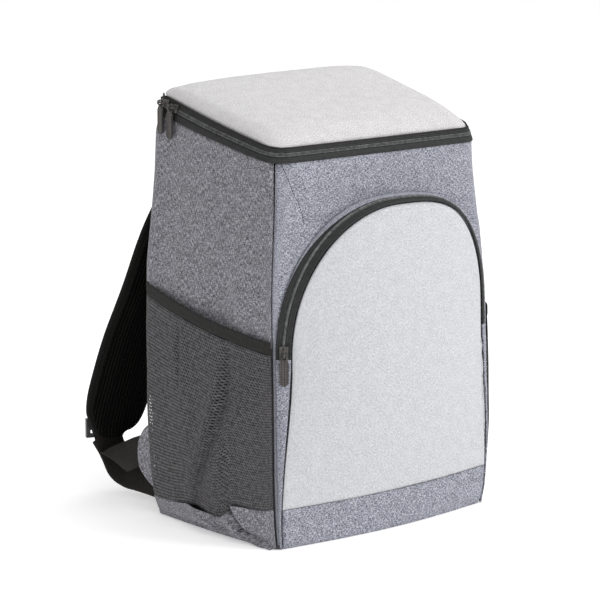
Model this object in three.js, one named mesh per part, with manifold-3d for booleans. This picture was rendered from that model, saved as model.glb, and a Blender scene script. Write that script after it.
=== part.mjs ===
import * as THREE from 'three';
import Module from 'manifold-3d';
import { mergeVertices } from 'three/addons/utils/BufferGeometryUtils.js';

// Cooler backpack, in millimetres. +Z is up, -Y is the front, +X is the bag's right in a front view.
// The origin is the centre of the base, on the surface that the bag stands on.

// Body
const WIDTH = 280;
const DEPTH = 196;
const RIM_FRONT_LEFT = 387;
const RIM_FRONT_RIGHT = 385;
const RIM_BACK_RIGHT = 430;
const RIM_BACK_LEFT = 426;
const WALL = 5;
const BASE_THICKNESS = 4;
const GAP = 0.3;
const SEAM_GAP = 0.45;
const CLOTH = 1.6;
const FRONT_FOOT_RADIUS = 8;
const FRONT_RIM_RADIUS = 27;
const BACK_FOOT_RADIUS = 12;
const BACK_RIM_RADIUS = 24;
const CORNER_WIDENING_FROM = 0.6;
const FRONT_CROWN = 11;
const BACK_CROWN = 3;
const SIDE_CROWN = 3;

// Lid and its zipper
const LID_WALL = 5;
const LID_DOME = 17;
const LID_INSET = 4.5;
const LID_BOW_POWER = 5;
const LID_BAND_FRONT = 13;
const LID_BAND_BACK = 18;
const COIL_RISE = 1.2;
const TAPE_RISE = 0.6;
const COIL_LOW = 0.45;
const COIL_HIGH = 0.7;
const LID_SLIDER_PLACES = [0.93, 0.84];

// Front pocket
const POCKET_EDGE = 4;
const POCKET_INSET = 13;
const POCKET_SPRING = 188;
const POCKET_TOP = 332;
const POCKET_TOP_INSET = 5;
const POCKET_SIDE_DEPTH = 7;
const POCKET_TOP_DEPTH = 22;
const POCKET_FOOT_DEPTH = 3;
const POCKET_BOW_POWER = 2.4;
const POCKET_TAPER_REACH = 1.2;
const POCKET_SEAM = 40;
const ARCH_POWER_LEFT = 2.05;
const ARCH_POWER_RIGHT = 2.9;
const ARCH_STEP = 0.02;
const POCKET_CLOTH = 2.2;
const POCKET_COIL_LOW = 0.4;
const POCKET_COIL_HIGH = 0.6;
const POCKET_SLIDER_SHARE = 0.014;

// Net side pockets
const NET_FRONT = 205;
const NET_BACK = 241;
const NET_CLOTH = 1.2;
const NET_BULGE = 11;
const NET_RISE_POWER = 1.4;
const NET_EDGE_BOW = 0.45;
const BINDING_WIDTH = 13;
const BINDING_CLOTH = 2;
const BINDING_RISE = 0.2;
const FOLD_REACH = 0.8;
const BAND_FOOT = 0.6;

// Carrying straps
const PAD_WIDTH = 68;
const PAD_THICKNESS = 12;
const PAD_EDGE_THINNING = 0.62;
const WEBBING_WIDTH = 30;
const WEBBING_CLOTH = 1.6;
const LOCK_WIDTH = 40;
const LOCK_HEIGHT = 20;
const LOCK_THICKNESS = 5;
const LOCK_SHIFT = 5;
const LOCK_RISE = 7;
const SLOT_CLEARANCE = 1;
const SLOT_HEIGHT = 4;
const WEBBING_SLOPE = 0.36;
const TAB_CLOTH = 3;

// Zipper sliders and pulls
const SLIDER_GAP = 0.45;
const SLIDER_LENGTH = 13;
const SLIDER_WIDTH = 8.5;
const SLIDER_HEIGHT = 2.6;
const BAR_HEIGHT = 3.9;
const BAR_SIZE = 1.6;
const BAR_LEG = 1.8;
const SLIDER_CHAMFER = 0.8;
const EYE_RADIUS = 2.9;
const EYE_HOLE = 1.7;
const EYE_WIDTH = 3;
const PULL_WIDTH = 9;
const PULL_LENGTH = 31;
const PULL_THICKNESS = 2.2;
const PULL_RIM = 1.5;
const SLOT_WIDTH = 3.2;
const SLOT_REACH = 5;

// The body's section at shares of the rim's height: half width and lean to its right as shares of
// half the width, front and back as shares of half the depth
const BODY_SECTIONS = [
  { rise: 0.0, side: 0.985, lean: 0.008, front: 0.94, back: 0.965 },
  { rise: 0.06, side: 1.012, lean: 0.012, front: 0.95, back: 1.0 },
  { rise: 0.4, side: 1.027, lean: 0.018, front: 0.93, back: 1.06 },
  { rise: 0.62, side: 1.018, lean: 0.024, front: 0.893, back: 1.085 },
  { rise: 0.8, side: 0.985, lean: 0.032, front: 0.855, back: 1.07 },
  { rise: 1.0, side: 0.988, lean: 0.052, front: 0.826, back: 1.04 },
];

// Creases of the net, from its front edge (0) to its back edge (1), as shares of the net's bulge
const NET_CREASES = [
  { at: 0.3, reach: 0.07, drop: 0.32 },
  { at: 0.52, reach: 0.06, drop: 0.22 },
  { at: 0.74, reach: 0.08, drop: 0.28 },
];

// Height of the band under the net, from front (0) to back (1), as a share of the pocket seam,
// with the share of the net's bulge that the band's folds take
const BAND_SECTIONS = [
  { at: 0.0, top: 1.02, fold: 0.0 },
  { at: 0.18, top: 0.92, fold: 0.15 },
  { at: 0.33, top: 0.82, fold: 0.6 },
  { at: 0.4, top: 0.55, fold: -0.05 },
  { at: 0.55, top: 0.62, fold: 0.45 },
  { at: 0.75, top: 0.48, fold: 0.2 },
  { at: 1.0, top: 0.46, fold: 0.0 },
];

// Middle line of the padded strap: share of half the width, share of half the depth, share of the
// back rim's height, turn of the strap's width towards the front, and share of the strap's width
const PAD_ROUTE = [
  { across: 0.32, behind: 1.141, rise: 0.915, turn: 0, width: 0.86 },
  { across: 0.39, behind: 1.183, rise: 0.855, turn: 4, width: 0.9 },
  { across: 0.48, behind: 1.227, rise: 0.79, turn: 8, width: 0.94 },
  { across: 0.57, behind: 1.28, rise: 0.705, turn: 12, width: 0.97 },
  { across: 0.68, behind: 1.325, rise: 0.62, turn: 15, width: 1.0 },
  { across: 0.77, behind: 1.425, rise: 0.51, turn: 17, width: 1.0 },
  { across: 0.84, behind: 1.6, rise: 0.39, turn: 19, width: 1.0 },
  { across: 0.9, behind: 1.765, rise: 0.25, turn: 20, width: 0.99 },
  { across: 0.924, behind: 1.813, rise: 0.195, turn: 20, width: 0.88 },
  { across: 0.934, behind: 1.832, rise: 0.163, turn: 20, width: 0.61 },
  { across: 0.928, behind: 1.841, rise: 0.148, turn: 20, width: 0.34 },
];

// Corner tab's outline: reach behind the body as a share of half the depth, share of the back rim
const TAB_OUTLINE = [
  { reach: 0.0, rise: 0.06 },
  { reach: 0.11, rise: 0.075 },
  { reach: 0.22, rise: 0.1 },
  { reach: 0.235, rise: 0.14 },
  { reach: 0.19, rise: 0.175 },
  { reach: 0.1, rise: 0.2 },
  { reach: 0.0, rise: 0.215 },
];

// Webbing from the corner tab to the lock: place, and tilt of its width out of the level
const WEBBING_ROUTE = [
  { across: 0.981, behind: 1.18, rise: 0.143, turn: 90 },
  { across: 0.981, behind: 1.306, rise: 0.132, turn: 90 },
  { across: 0.973, behind: 1.48, rise: 0.114, turn: 87 },
  { across: 0.966, behind: 1.643, rise: 0.098, turn: 68 },
  { across: 0.951, behind: 1.765, rise: 0.09, turn: 40 },
  { across: 0.917, behind: 1.837, rise: 0.1, turn: 12 },
  { across: 0.917, behind: 1.874, rise: 0.118, turn: 2 },
  { across: 0.932, behind: 1.893, rise: 0.142, turn: 0 },
];

// Loose end of the webbing, from the lock down and back towards the body's corner
const TAIL_ROUTE = [
  { across: 0.92, behind: 1.978, rise: 0.142, turn: 0 },
  { across: 0.873, behind: 1.963, rise: 0.114, turn: -12 },
  { across: 0.847, behind: 1.918, rise: 0.087, turn: -26 },
  { across: 0.845, behind: 1.827, rise: 0.062, turn: -42 },
  { across: 0.838, behind: 1.694, rise: 0.052, turn: -58 },
  { across: 0.835, behind: 1.51, rise: 0.052, turn: -66 },
  { across: 0.845, behind: 1.306, rise: 0.053, turn: -70 },
  { across: 0.855, behind: 1.153, rise: 0.053, turn: -72 },
];

const RIM_CORNERS = [RIM_FRONT_LEFT, RIM_FRONT_RIGHT, RIM_BACK_RIGHT, RIM_BACK_LEFT];
const BODY_HEIGHT = (RIM_FRONT_LEFT + RIM_FRONT_RIGHT + RIM_BACK_RIGHT + RIM_BACK_LEFT) / 4;
const CORNER_SHARE = 0.1;
const HANDS = [{ name: 'left', sign: -1 }, { name: 'right', sign: 1 }];

const wasm = await Module();
wasm.setup();

const bag = new THREE.Group();

const material = (color, roughness, metalness = 0) =>
  new THREE.MeshStandardMaterial({ color, roughness, metalness });
const greyCloth = material(0x8d8f98, 0.95);
const lightCloth = material(0xdadbdd, 0.95);
const darkTape = material(0x43443f, 0.85);
const netCloth = material(0x4b494b, 0.9);
const padCloth = material(0x161614, 0.95);
const webbingCloth = material(0x322e2a, 0.85);
const hardPlastic = material(0x1c1c1c, 0.45);
const pullRubber = material(0x6e6a65, 0.7);

function addMesh(name, geometry, finish, parent = bag) {
  const mesh = new THREE.Mesh(geometry, finish);
  mesh.name = name;
  parent.add(mesh);
  return mesh;
}

// Evenly spaced shares from start to end
function steps(count, start = 0, end = 1) {
  return Array.from({ length: count + 1 }, (_, i) => start + ((end - start) * i) / count);
}

// Smooth value of one column of a table at a share
function tableValue(rows, key, column, at) {
  const smooth = new THREE.CubicInterpolant(
    rows.map((row) => row[key]), rows.map((row) => row[column]), 1, new Float32Array(1));
  return smooth.evaluate(Math.min(Math.max(at, 0), 1))[0];
}

// Closed solid between two grids of points that have the same rows and columns
function shell(outer, inner) {
  const rows = outer.length;
  const columns = outer[0].length;
  const points = [...outer.flat(), ...inner.flat()];
  const far = rows * columns;
  const at = (i, j, side) => side * far + i * columns + j;
  const faces = [];
  const quad = (a, b, c, d) => faces.push(a, b, c, a, c, d);
  for (let i = 0; i < rows - 1; i++) {
    for (let j = 0; j < columns - 1; j++) {
      quad(at(i, j, 0), at(i, j + 1, 0), at(i + 1, j + 1, 0), at(i + 1, j, 0));
      quad(at(i, j, 1), at(i + 1, j, 1), at(i + 1, j + 1, 1), at(i, j + 1, 1));
    }
  }
  for (let j = 0; j < columns - 1; j++) {
    quad(at(0, j, 0), at(0, j, 1), at(0, j + 1, 1), at(0, j + 1, 0));
    quad(at(rows - 1, j, 0), at(rows - 1, j + 1, 0), at(rows - 1, j + 1, 1), at(rows - 1, j, 1));
  }
  for (let i = 0; i < rows - 1; i++) {
    quad(at(i, 0, 0), at(i + 1, 0, 0), at(i + 1, 0, 1), at(i, 0, 1));
    quad(at(i, columns - 1, 0), at(i, columns - 1, 1), at(i + 1, columns - 1, 1), at(i + 1, columns - 1, 0));
  }
  return closedGeometry(points, faces);
}

// Geometry whose faces point out, from points and triangles that close on themselves
function closedGeometry(points, faces) {
  let volume = 0;
  for (let k = 0; k < faces.length; k += 3) {
    const [a, b, c] = [points[faces[k]], points[faces[k + 1]], points[faces[k + 2]]];
    volume += a.dot(new THREE.Vector3().crossVectors(b, c));
  }
  const geometry = new THREE.BufferGeometry().setFromPoints(points);
  geometry.setIndex(volume < 0 ? faces.slice().reverse() : faces);
  geometry.computeVertexNormals();
  return geometry;
}

// One solid from several that meet or cross
function joined(geometries) {
  const solids = geometries.map((geometry) => {
    const bare = geometry.clone();
    bare.deleteAttribute('normal');
    bare.deleteAttribute('uv');
    const merged = mergeVertices(bare, 1e-4);
    return new wasm.Manifold(new wasm.Mesh({
      numProp: 3,
      vertProperties: new Float32Array(merged.attributes.position.array),
      triVerts: new Uint32Array(merged.index.array),
    }));
  });
  const mesh = solids.reduce((whole, piece) => whole.add(piece)).getMesh();
  const geometry = new THREE.BufferGeometry();
  geometry.setAttribute('position', new THREE.BufferAttribute(mesh.vertProperties, 3));
  geometry.setIndex(new THREE.BufferAttribute(mesh.triVerts, 1));
  geometry.computeVertexNormals();
  return geometry;
}

// The body's section at a height
function section(z) {
  const rise = z / BODY_HEIGHT;
  const value = (column) => tableValue(BODY_SECTIONS, 'rise', column, rise);
  const upper = THREE.MathUtils.smoothstep(rise, CORNER_WIDENING_FROM, 1);
  return {
    half: (WIDTH / 2) * value('side'),
    lean: (WIDTH / 2) * value('lean'),
    front: (-DEPTH / 2) * value('front'),
    back: (DEPTH / 2) * value('back'),
    frontRadius: THREE.MathUtils.lerp(FRONT_FOOT_RADIUS, FRONT_RIM_RADIUS, upper),
    backRadius: THREE.MathUtils.lerp(BACK_FOOT_RADIUS, BACK_RIM_RADIUS, upper),
    crowns: [FRONT_CROWN * (1 - Math.min(rise, 1)), SIDE_CROWN, BACK_CROWN, SIDE_CROWN],
  };
}

// Point of the body's outer face. along runs 0 to 4 round the body from the front left corner:
// front, right, back, left, with each corner's middle at a whole number. inset goes inwards.
function wallPoint(along, z, inset = 0) {
  const shape = section(z);
  const turn = ((along % 4) + 4) % 4;
  const side = Math.min(Math.floor(turn), 3);
  const share = turn - side;
  const ends = [
    [-shape.half, shape.front], [shape.half, shape.front],
    [shape.half, shape.back], [-shape.half, shape.back],
  ];
  const radii = [shape.frontRadius, shape.frontRadius, shape.backRadius, shape.backRadius];
  const start = new THREE.Vector2(...ends[side]);
  const end = new THREE.Vector2(...ends[(side + 1) % 4]);
  const run = end.clone().sub(start).normalize();
  const out = new THREE.Vector2(run.y, -run.x);
  const arc = (centre, radius, angle) => {
    const normal = out.clone().multiplyScalar(Math.cos(angle)).addScaledVector(run, Math.sin(angle));
    return centre.addScaledVector(out, -radius).addScaledVector(normal, radius - inset);
  };
  let place;
  if (share < CORNER_SHARE) {
    const angle = (share / CORNER_SHARE - 1) * Math.PI / 4;
    place = arc(start.addScaledVector(run, radii[side]), radii[side], angle);
  } else if (share > 1 - CORNER_SHARE) {
    const angle = ((share - 1) / CORNER_SHARE + 1) * Math.PI / 4;
    const radius = radii[(side + 1) % 4];
    place = arc(end.addScaledVector(run, -radius), radius, angle);
  } else {
    const flat = (share - CORNER_SHARE) / (1 - 2 * CORNER_SHARE);
    start.addScaledVector(run, radii[side]);
    end.addScaledVector(run, -radii[(side + 1) % 4]);
    place = start.lerp(end, flat).addScaledVector(out, shape.crowns[side] * Math.sin(Math.PI * flat) - inset);
  }
  return new THREE.Vector3(place.x + shape.lean, place.y, z);
}

// Rim's height above the floor at a place round the body
function rimHeight(along) {
  const turn = ((along % 4) + 4) % 4;
  const side = Math.min(Math.floor(turn), 3);
  return THREE.MathUtils.lerp(RIM_CORNERS[side], RIM_CORNERS[(side + 1) % 4], turn - side);
}

// Share of the way from the front to the back at a place round the body
function backness(along) {
  const turn = ((along % 4) + 4) % 4;
  if (turn < 1) return 0;
  if (turn < 2) return turn - 1;
  return turn < 3 ? 1 : 4 - turn;
}

const bandHeight = (along) => THREE.MathUtils.lerp(LID_BAND_FRONT, LID_BAND_BACK, backness(along));

// Share of a side that half a seam takes at its corner
const seam = (SEAM_GAP / 2) * CORNER_SHARE * 4 / (Math.PI * FRONT_FOOT_RADIUS);

// Places across one side: close together round its corners and even between them
function sideShares(flatSteps) {
  const flat = steps(flatSteps, CORNER_SHARE, 1 - CORNER_SHARE);
  return [seam, CORNER_SHARE / 2, ...flat, 1 - CORNER_SHARE / 2, 1 - seam];
}

// Places round several sides without a break, from one corner's middle to another's
function roundPlaces(sides, flatSteps) {
  const places = sides.flatMap((side) => sideShares(flatSteps).slice(0, -1).map((share) => side + share));
  return [...places, sides[sides.length - 1] + 1 - seam];
}

// Front face's y at a place, outside the body's corners' middles
function frontY(x, z) {
  const shape = section(z);
  const flatHalf = shape.half - shape.frontRadius;
  const across = x - shape.lean;
  const over = Math.abs(across) - flatHalf;
  if (over > 0) {
    const drop = Math.sqrt(Math.max(shape.frontRadius ** 2 - over ** 2, 0));
    return shape.front + shape.frontRadius - drop;
  }
  return shape.front - shape.crowns[0] * Math.cos((Math.PI / 2) * (across / flatHalf));
}

// One padded wall of the body
function wallPanel(side, flatSteps, riseSteps, topAt) {
  const foot = BASE_THICKNESS + GAP;
  const grid = (inset) => steps(riseSteps).map((rise) => sideShares(flatSteps).map((share) => {
    const along = side + share;
    return wallPoint(along, THREE.MathUtils.lerp(foot, topAt(along), rise), inset);
  }));
  return shell(grid(0), grid(WALL));
}

function buildBody() {
  const belowBand = (along) => rimHeight(along) - bandHeight(along) - GAP;
  const belowLid = (along) => rimHeight(along) - LID_WALL - GAP;
  addMesh('front_panel', wallPanel(0, 8, 8, belowBand), greyCloth);
  addMesh('side_panel_right', wallPanel(1, 6, 8, belowBand), greyCloth);
  addMesh('back_panel', wallPanel(2, 8, 8, belowLid), padCloth);
  addMesh('side_panel_left', wallPanel(3, 6, 8, belowBand), greyCloth);

  const outline = new THREE.Shape();
  outline.setFromPoints(roundPlaces([0, 1, 2, 3], 6).map((along) => {
    const point = wallPoint(along, 0);
    return new THREE.Vector2(point.x, point.y);
  }));
  const base = new THREE.ExtrudeGeometry(outline, { depth: BASE_THICKNESS, bevelEnabled: false });
  addMesh('base_panel', base, greyCloth);
}

// Point of the band that carries the lid's zipper, from its foot (0) to the rim (1)
function lidBandPoint(along, share, out) {
  const z = rimHeight(along) - bandHeight(along) * (1 - share);
  return wallPoint(along, z, LID_INSET * share - out);
}

function lidRibbon(low, high, out, cloth) {
  const grid = (offset) => roundPlaces([-1, 0, 1], 8).map((along) =>
    [low, high].map((share) => lidBandPoint(along, share, offset)));
  return shell(grid(out), grid(out - cloth));
}

// Point of the lid, from left (0) to right (1) and front (0) to back (1), blended from its four edges
function lidPoint(across, deep, lower) {
  const inset = LID_INSET + CLOTH - TAPE_RISE + GAP;
  const edge = (along) => wallPoint(along, rimHeight(along), inset);
  const front = edge(across);
  const back = edge(2 + 1 - across);
  const right = edge(1 + deep);
  const left = edge(3 + 1 - deep);
  const corners = [
    [0, (1 - across) * (1 - deep)], [1, across * (1 - deep)], [2, across * deep], [3, (1 - across) * deep],
  ];
  const point = new THREE.Vector3()
    .addScaledVector(front, 1 - deep).addScaledVector(back, deep)
    .addScaledVector(left, 1 - across).addScaledVector(right, across);
  corners.forEach(([corner, weight]) => point.addScaledVector(edge(corner), -weight));
  const bow = (share) => 1 - Math.abs(2 * share - 1) ** LID_BOW_POWER;
  point.z += LID_DOME * bow(across) * bow(deep) - lower;
  return point;
}

function buildLid() {
  const slit = 2 * GAP / (LID_BAND_FRONT + LID_BAND_BACK);
  addMesh('lid_tape_lower', lidRibbon(0, COIL_LOW - slit, TAPE_RISE, CLOTH), darkTape);
  addMesh('lid_coil', lidRibbon(COIL_LOW, COIL_HIGH, COIL_RISE, CLOTH + COIL_RISE), darkTape);
  addMesh('lid_tape_upper', lidRibbon(COIL_HIGH + slit, 1, TAPE_RISE, CLOTH), darkTape);
  const grid = (lower) => sideShares(10).map((across) =>
    sideShares(8).map((deep) => lidPoint(across, deep, lower)));
  addMesh('lid_panel', shell(grid(0), grid(LID_WALL)), lightCloth);
}

// Half width of the pocket's front panel at a height
function pocketHalf(z) {
  const outer = section(z).half - POCKET_EDGE;
  return outer - POCKET_INSET * THREE.MathUtils.smoothstep(z, 0, POCKET_SPRING * POCKET_TAPER_REACH);
}

const archPower = (x) => (x < 0 ? ARCH_POWER_LEFT : ARCH_POWER_RIGHT);

// How far the pocket's front panel stands out from the body's front face
function pocketOut(x, z) {
  const half = pocketHalf(POCKET_SPRING);
  const middle = 1 - Math.min(Math.abs(x - section(z).lean) / half, 1) ** POCKET_BOW_POWER;
  const rise = THREE.MathUtils.smoothstep(z, 0, POCKET_SPRING);
  const edge = THREE.MathUtils.lerp(POCKET_FOOT_DEPTH, POCKET_SIDE_DEPTH, rise);
  return edge + (POCKET_TOP_DEPTH - POCKET_SIDE_DEPTH) * middle * rise;
}

// Point of the pocket's front face
function pocketPoint(x, z, inset = 0) {
  return new THREE.Vector3(x, frontY(x, z) - pocketOut(x, z) - CLOTH + inset, z);
}

// Outer and inner edge of the pocket's arch, from the left end (0) to the right end (1)
function archEdge(share, inner) {
  const angle = Math.PI * (1 - share);
  const reach = Math.cos(angle);
  const half = inner ? pocketHalf(POCKET_SPRING) : section(POCKET_SPRING).half - POCKET_EDGE;
  const top = POCKET_TOP - POCKET_SPRING - (inner ? POCKET_TOP_INSET : 0);
  const power = archPower(reach);
  const z = POCKET_SPRING + top * Math.abs(Math.sin(angle)) ** (2 / power);
  const x = Math.sign(reach) * half * Math.abs(reach) ** (2 / power) + section(z).lean;
  return inner ? pocketPoint(x, z) : new THREE.Vector3(x, frontY(x, z) - CLOTH - GAP, z);
}

// Edges of the pocket's zipper at a share of its arch, with the way that its face looks
function archFrame(share) {
  const outer = archEdge(share, false);
  const inner = archEdge(share, true);
  const before = archEdge(Math.max(share - ARCH_STEP, 0), false);
  const after = archEdge(Math.min(share + ARCH_STEP, 1), false);
  return { outer, inner, normal: forwardNormal(after.sub(before), outer, inner) };
}

// Normal of a strip that runs along a way and reaches from outer to inner, on its front
function forwardNormal(way, outer, inner) {
  const normal = new THREE.Vector3().crossVectors(way, inner.clone().sub(outer)).normalize();
  return normal.y > 0 ? normal.negate() : normal;
}

// Strip between two shares of the way from the frames' outer to their inner edges
function ribbon(frames, from, to, out, cloth) {
  const grid = (offset) => frames.map(({ outer, inner, normal }) => [from, to].map((share) =>
    outer.clone().lerp(inner, share).addScaledVector(normal, offset)));
  return shell(grid(out), grid(out - cloth));
}

// Clearance of the pocket's panel and band inside the strips round them
const pocketNest = CLOTH + 2 * GAP;

function pocketPanel() {
  const half = pocketHalf(POCKET_SPRING) - pocketNest;
  const rise = POCKET_TOP - POCKET_TOP_INSET - pocketNest - POCKET_SPRING;
  const shares = steps(16, -1, 1).map((share) => Math.sin((share * Math.PI) / 2));
  const grid = (inset) => steps(11).map((up) => shares.map((share) => {
    const power = archPower(share);
    const top = POCKET_SPRING + rise * (1 - Math.abs(share) ** power) ** (1 / power);
    const z = THREE.MathUtils.lerp(POCKET_SEAM + GAP, top, up);
    const below = pocketHalf(Math.min(z, POCKET_SPRING)) - pocketNest;
    const x = share * THREE.MathUtils.lerp(below, half, up ** 2) + section(z).lean;
    return pocketPoint(x, z, inset);
  }));
  return shell(grid(0), grid(POCKET_CLOTH));
}

function pocketBand() {
  const grid = (inset) => steps(3).map((rise) => steps(14, -1, 1).map((share) => {
    const z = THREE.MathUtils.lerp(BAND_FOOT, POCKET_SEAM, rise);
    return pocketPoint(share * (pocketHalf(z) - pocketNest) + section(z).lean, z, inset);
  }));
  return shell(grid(0), grid(POCKET_CLOTH));
}

function pocketGusset(sign) {
  const up = new THREE.Vector3(0, 0, 1);
  const frames = steps(9).map((rise) => {
    const z = THREE.MathUtils.lerp(BAND_FOOT, POCKET_SPRING - GAP, rise);
    const { half, lean } = section(z);
    const x = sign * (half - POCKET_EDGE) + lean;
    const outer = new THREE.Vector3(x, frontY(x, z) - GAP - CLOTH, z);
    const inner = pocketPoint(sign * pocketHalf(z) + lean, z);
    return { outer, inner, normal: forwardNormal(up, outer, inner) };
  });
  return ribbon(frames, 0, 1, 0, CLOTH);
}

function buildPocket() {
  const slit = GAP / POCKET_INSET;
  const arch = steps(34).map(archFrame);
  addMesh('pocket_panel', pocketPanel(), lightCloth);
  addMesh('pocket_base_band', pocketBand(), greyCloth);
  HANDS.forEach(({ name, sign }) => addMesh(`pocket_gusset_${name}`, pocketGusset(sign), greyCloth));
  addMesh('pocket_tape_outer', ribbon(arch, 0, POCKET_COIL_LOW - slit, 0, CLOTH), darkTape);
  const coil = ribbon(arch, POCKET_COIL_LOW, POCKET_COIL_HIGH, COIL_RISE, CLOTH + COIL_RISE);
  addMesh('pocket_coil', coil, darkTape);
  addMesh('pocket_tape_inner', ribbon(arch, POCKET_COIL_HIGH + slit, 1, 0, CLOTH), darkTape);
}

// Place round the body on one side, from its front corner (0) to its back corner (1)
const sideAlong = (sign, deep) => (sign < 0 ? 4 - deep : 1 + deep);

// How far the net's outer face stands off the side panel
function netOut(deep, rise) {
  const crease = NET_CREASES.reduce((sum, { at, reach, drop }) =>
    sum + drop * Math.exp(-(((deep - at) / reach) ** 2)), 0);
  const upright = THREE.MathUtils.lerp(NET_EDGE_BOW, 1, Math.sin(Math.PI * rise) ** 0.8);
  const bow = Math.sin(Math.PI * deep) ** 0.7 * upright;
  return GAP + BINDING_CLOTH + NET_BULGE * bow * (1 - crease * Math.sin(Math.PI * rise));
}

const netTop = (deep) => THREE.MathUtils.lerp(NET_FRONT, NET_BACK, deep ** NET_RISE_POWER);
const bandTop = (deep) => POCKET_SEAM * tableValue(BAND_SECTIONS, 'at', 'top', deep);

// Solid on one side of the body between two heights, outside the side panel
function sideCloth(sign, across, up, heights, outAt, cloth) {
  const grid = (inset) => steps(up).map((rise) => across.map((deep) => {
    const [low, high] = heights(deep);
    const z = THREE.MathUtils.lerp(low, high, rise);
    return wallPoint(sideAlong(sign, deep), z, inset - outAt(deep, rise));
  }));
  return shell(grid(0), grid(cloth));
}

function buildSidePockets() {
  const across = [0.01, 0.05, ...steps(16, 0.1, 0.9), 0.95, 0.99];
  HANDS.forEach(({ name, sign }) => {
    const net = sideCloth(sign, across, 8,
      (deep) => [bandTop(deep) + GAP, netTop(deep) - BINDING_WIDTH - GAP], netOut, NET_CLOTH);
    addMesh(`net_${name}`, net, netCloth);
    const binding = sideCloth(sign, across, 1,
      (deep) => [netTop(deep) - BINDING_WIDTH, netTop(deep)],
      (deep) => netOut(deep, 1) + BINDING_RISE, BINDING_CLOTH);
    addMesh(`net_binding_${name}`, binding, darkTape);
    const fold = (deep, rise) => {
      const depth = NET_BULGE * tableValue(BAND_SECTIONS, 'at', 'fold', deep);
      const folded = depth * Math.sin(Math.PI * rise * FOLD_REACH);
      return THREE.MathUtils.lerp(GAP + CLOTH, netOut(deep, 0), rise) + Math.max(folded, 0);
    };
    const band = sideCloth(sign, across, 4, (deep) => [BAND_FOOT, bandTop(deep)], fold, CLOTH);
    addMesh(`side_band_${name}`, band, greyCloth);
  });
}

// Place of a strap's row, on the left or the right
function strapPlace(row, sign) {
  const z = row.rise * RIM_BACK_LEFT;
  return new THREE.Vector3(sign * row.across * WIDTH / 2 + section(z).lean, row.behind * DEPTH / 2, z);
}

// Flat or padded strap along a route. widthAt gives the direction of its width at a row.
function strap(route, sign, stations, profile, widthAt) {
  const line = new THREE.CatmullRomCurve3(route.map((row) => strapPlace(row, sign)), false, 'centripetal');
  const last = route.length - 1;
  const keyed = route.map((row, i) => ({ ...row, share: i / last }));
  const value = (column, share) => tableValue(keyed, 'share', column, share);
  const rows = steps(stations).map((share) => {
    const tangent = line.getTangent(share);
    const turn = THREE.MathUtils.degToRad(value('turn', share));
    const width = widthAt(turn, sign);
    width.addScaledVector(tangent, -width.dot(tangent)).normalize();
    const normal = new THREE.Vector3().crossVectors(tangent, width).normalize();
    return { place: line.getPoint(share), width, normal, share };
  });
  const face = (side) => rows.map(({ place, width, normal, share }) =>
    profile(share, value).map(({ out, thick }) =>
      place.clone().addScaledVector(width, out).addScaledVector(normal, side * thick)));
  return shell(face(0.5), face(-0.5));
}

// Padded strap's section, thinner at its edges
function padProfile(share, value) {
  const half = PAD_WIDTH / 2 * value('width', share);
  return [-1, -0.86, -0.4, 0.4, 0.86, 1].map((across) => ({
    out: half * across,
    thick: PAD_THICKNESS * (1 - PAD_EDGE_THINNING * Math.abs(across) ** 6),
  }));
}

const webbingProfile = () => [-0.5, 0, 0.5].map((across) => ({
  out: WEBBING_WIDTH * across, thick: WEBBING_CLOTH,
}));

// Width turned about the upright, for the padded strap
const turnLevel = (turn, sign) => new THREE.Vector3(Math.cos(turn), sign * Math.sin(turn), 0);

// Width turned from level to upright, for webbing that twists or turns a corner
const turnUpright = (turn, sign) =>
  new THREE.Vector3(Math.cos(turn), sign * WEBBING_SLOPE * Math.cos(turn), sign * Math.sin(turn));

function cornerTab(sign) {
  const seam = sign < 0 ? 3 : 2;
  const outline = new THREE.Shape(TAB_OUTLINE.map(({ reach, rise }) => {
    const root = wallPoint(seam, rise * RIM_BACK_LEFT);
    return new THREE.Vector2(root.y + TAB_CLOTH / 2 + 2 * GAP + reach * DEPTH / 2, root.z);
  }));
  const tab = new THREE.ExtrudeGeometry(outline, { depth: TAB_CLOTH, bevelEnabled: false });
  tab.rotateX(Math.PI / 2).rotateZ(Math.PI / 2);
  const middle = wallPoint(seam, TAB_OUTLINE[3].rise * RIM_BACK_LEFT).x;
  return tab.translate(middle - TAB_CLOTH / 2, 0, 0);
}

function ladderLock() {
  const frame = (width, height) => [
    new THREE.Vector2(-width / 2, -height / 2), new THREE.Vector2(width / 2, -height / 2),
    new THREE.Vector2(width / 2, height / 2), new THREE.Vector2(-width / 2, height / 2),
  ];
  const outline = new THREE.Shape(frame(LOCK_WIDTH, LOCK_HEIGHT));
  [-1, 1].forEach((side) => {
    const slot = frame(WEBBING_WIDTH + SLOT_CLEARANCE, SLOT_HEIGHT);
    slot.forEach((corner) => corner.setY(corner.y + side * SLOT_HEIGHT));
    outline.holes.push(new THREE.Path(slot));
  });
  return new THREE.ExtrudeGeometry(outline, { depth: LOCK_THICKNESS, bevelEnabled: false });
}

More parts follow.
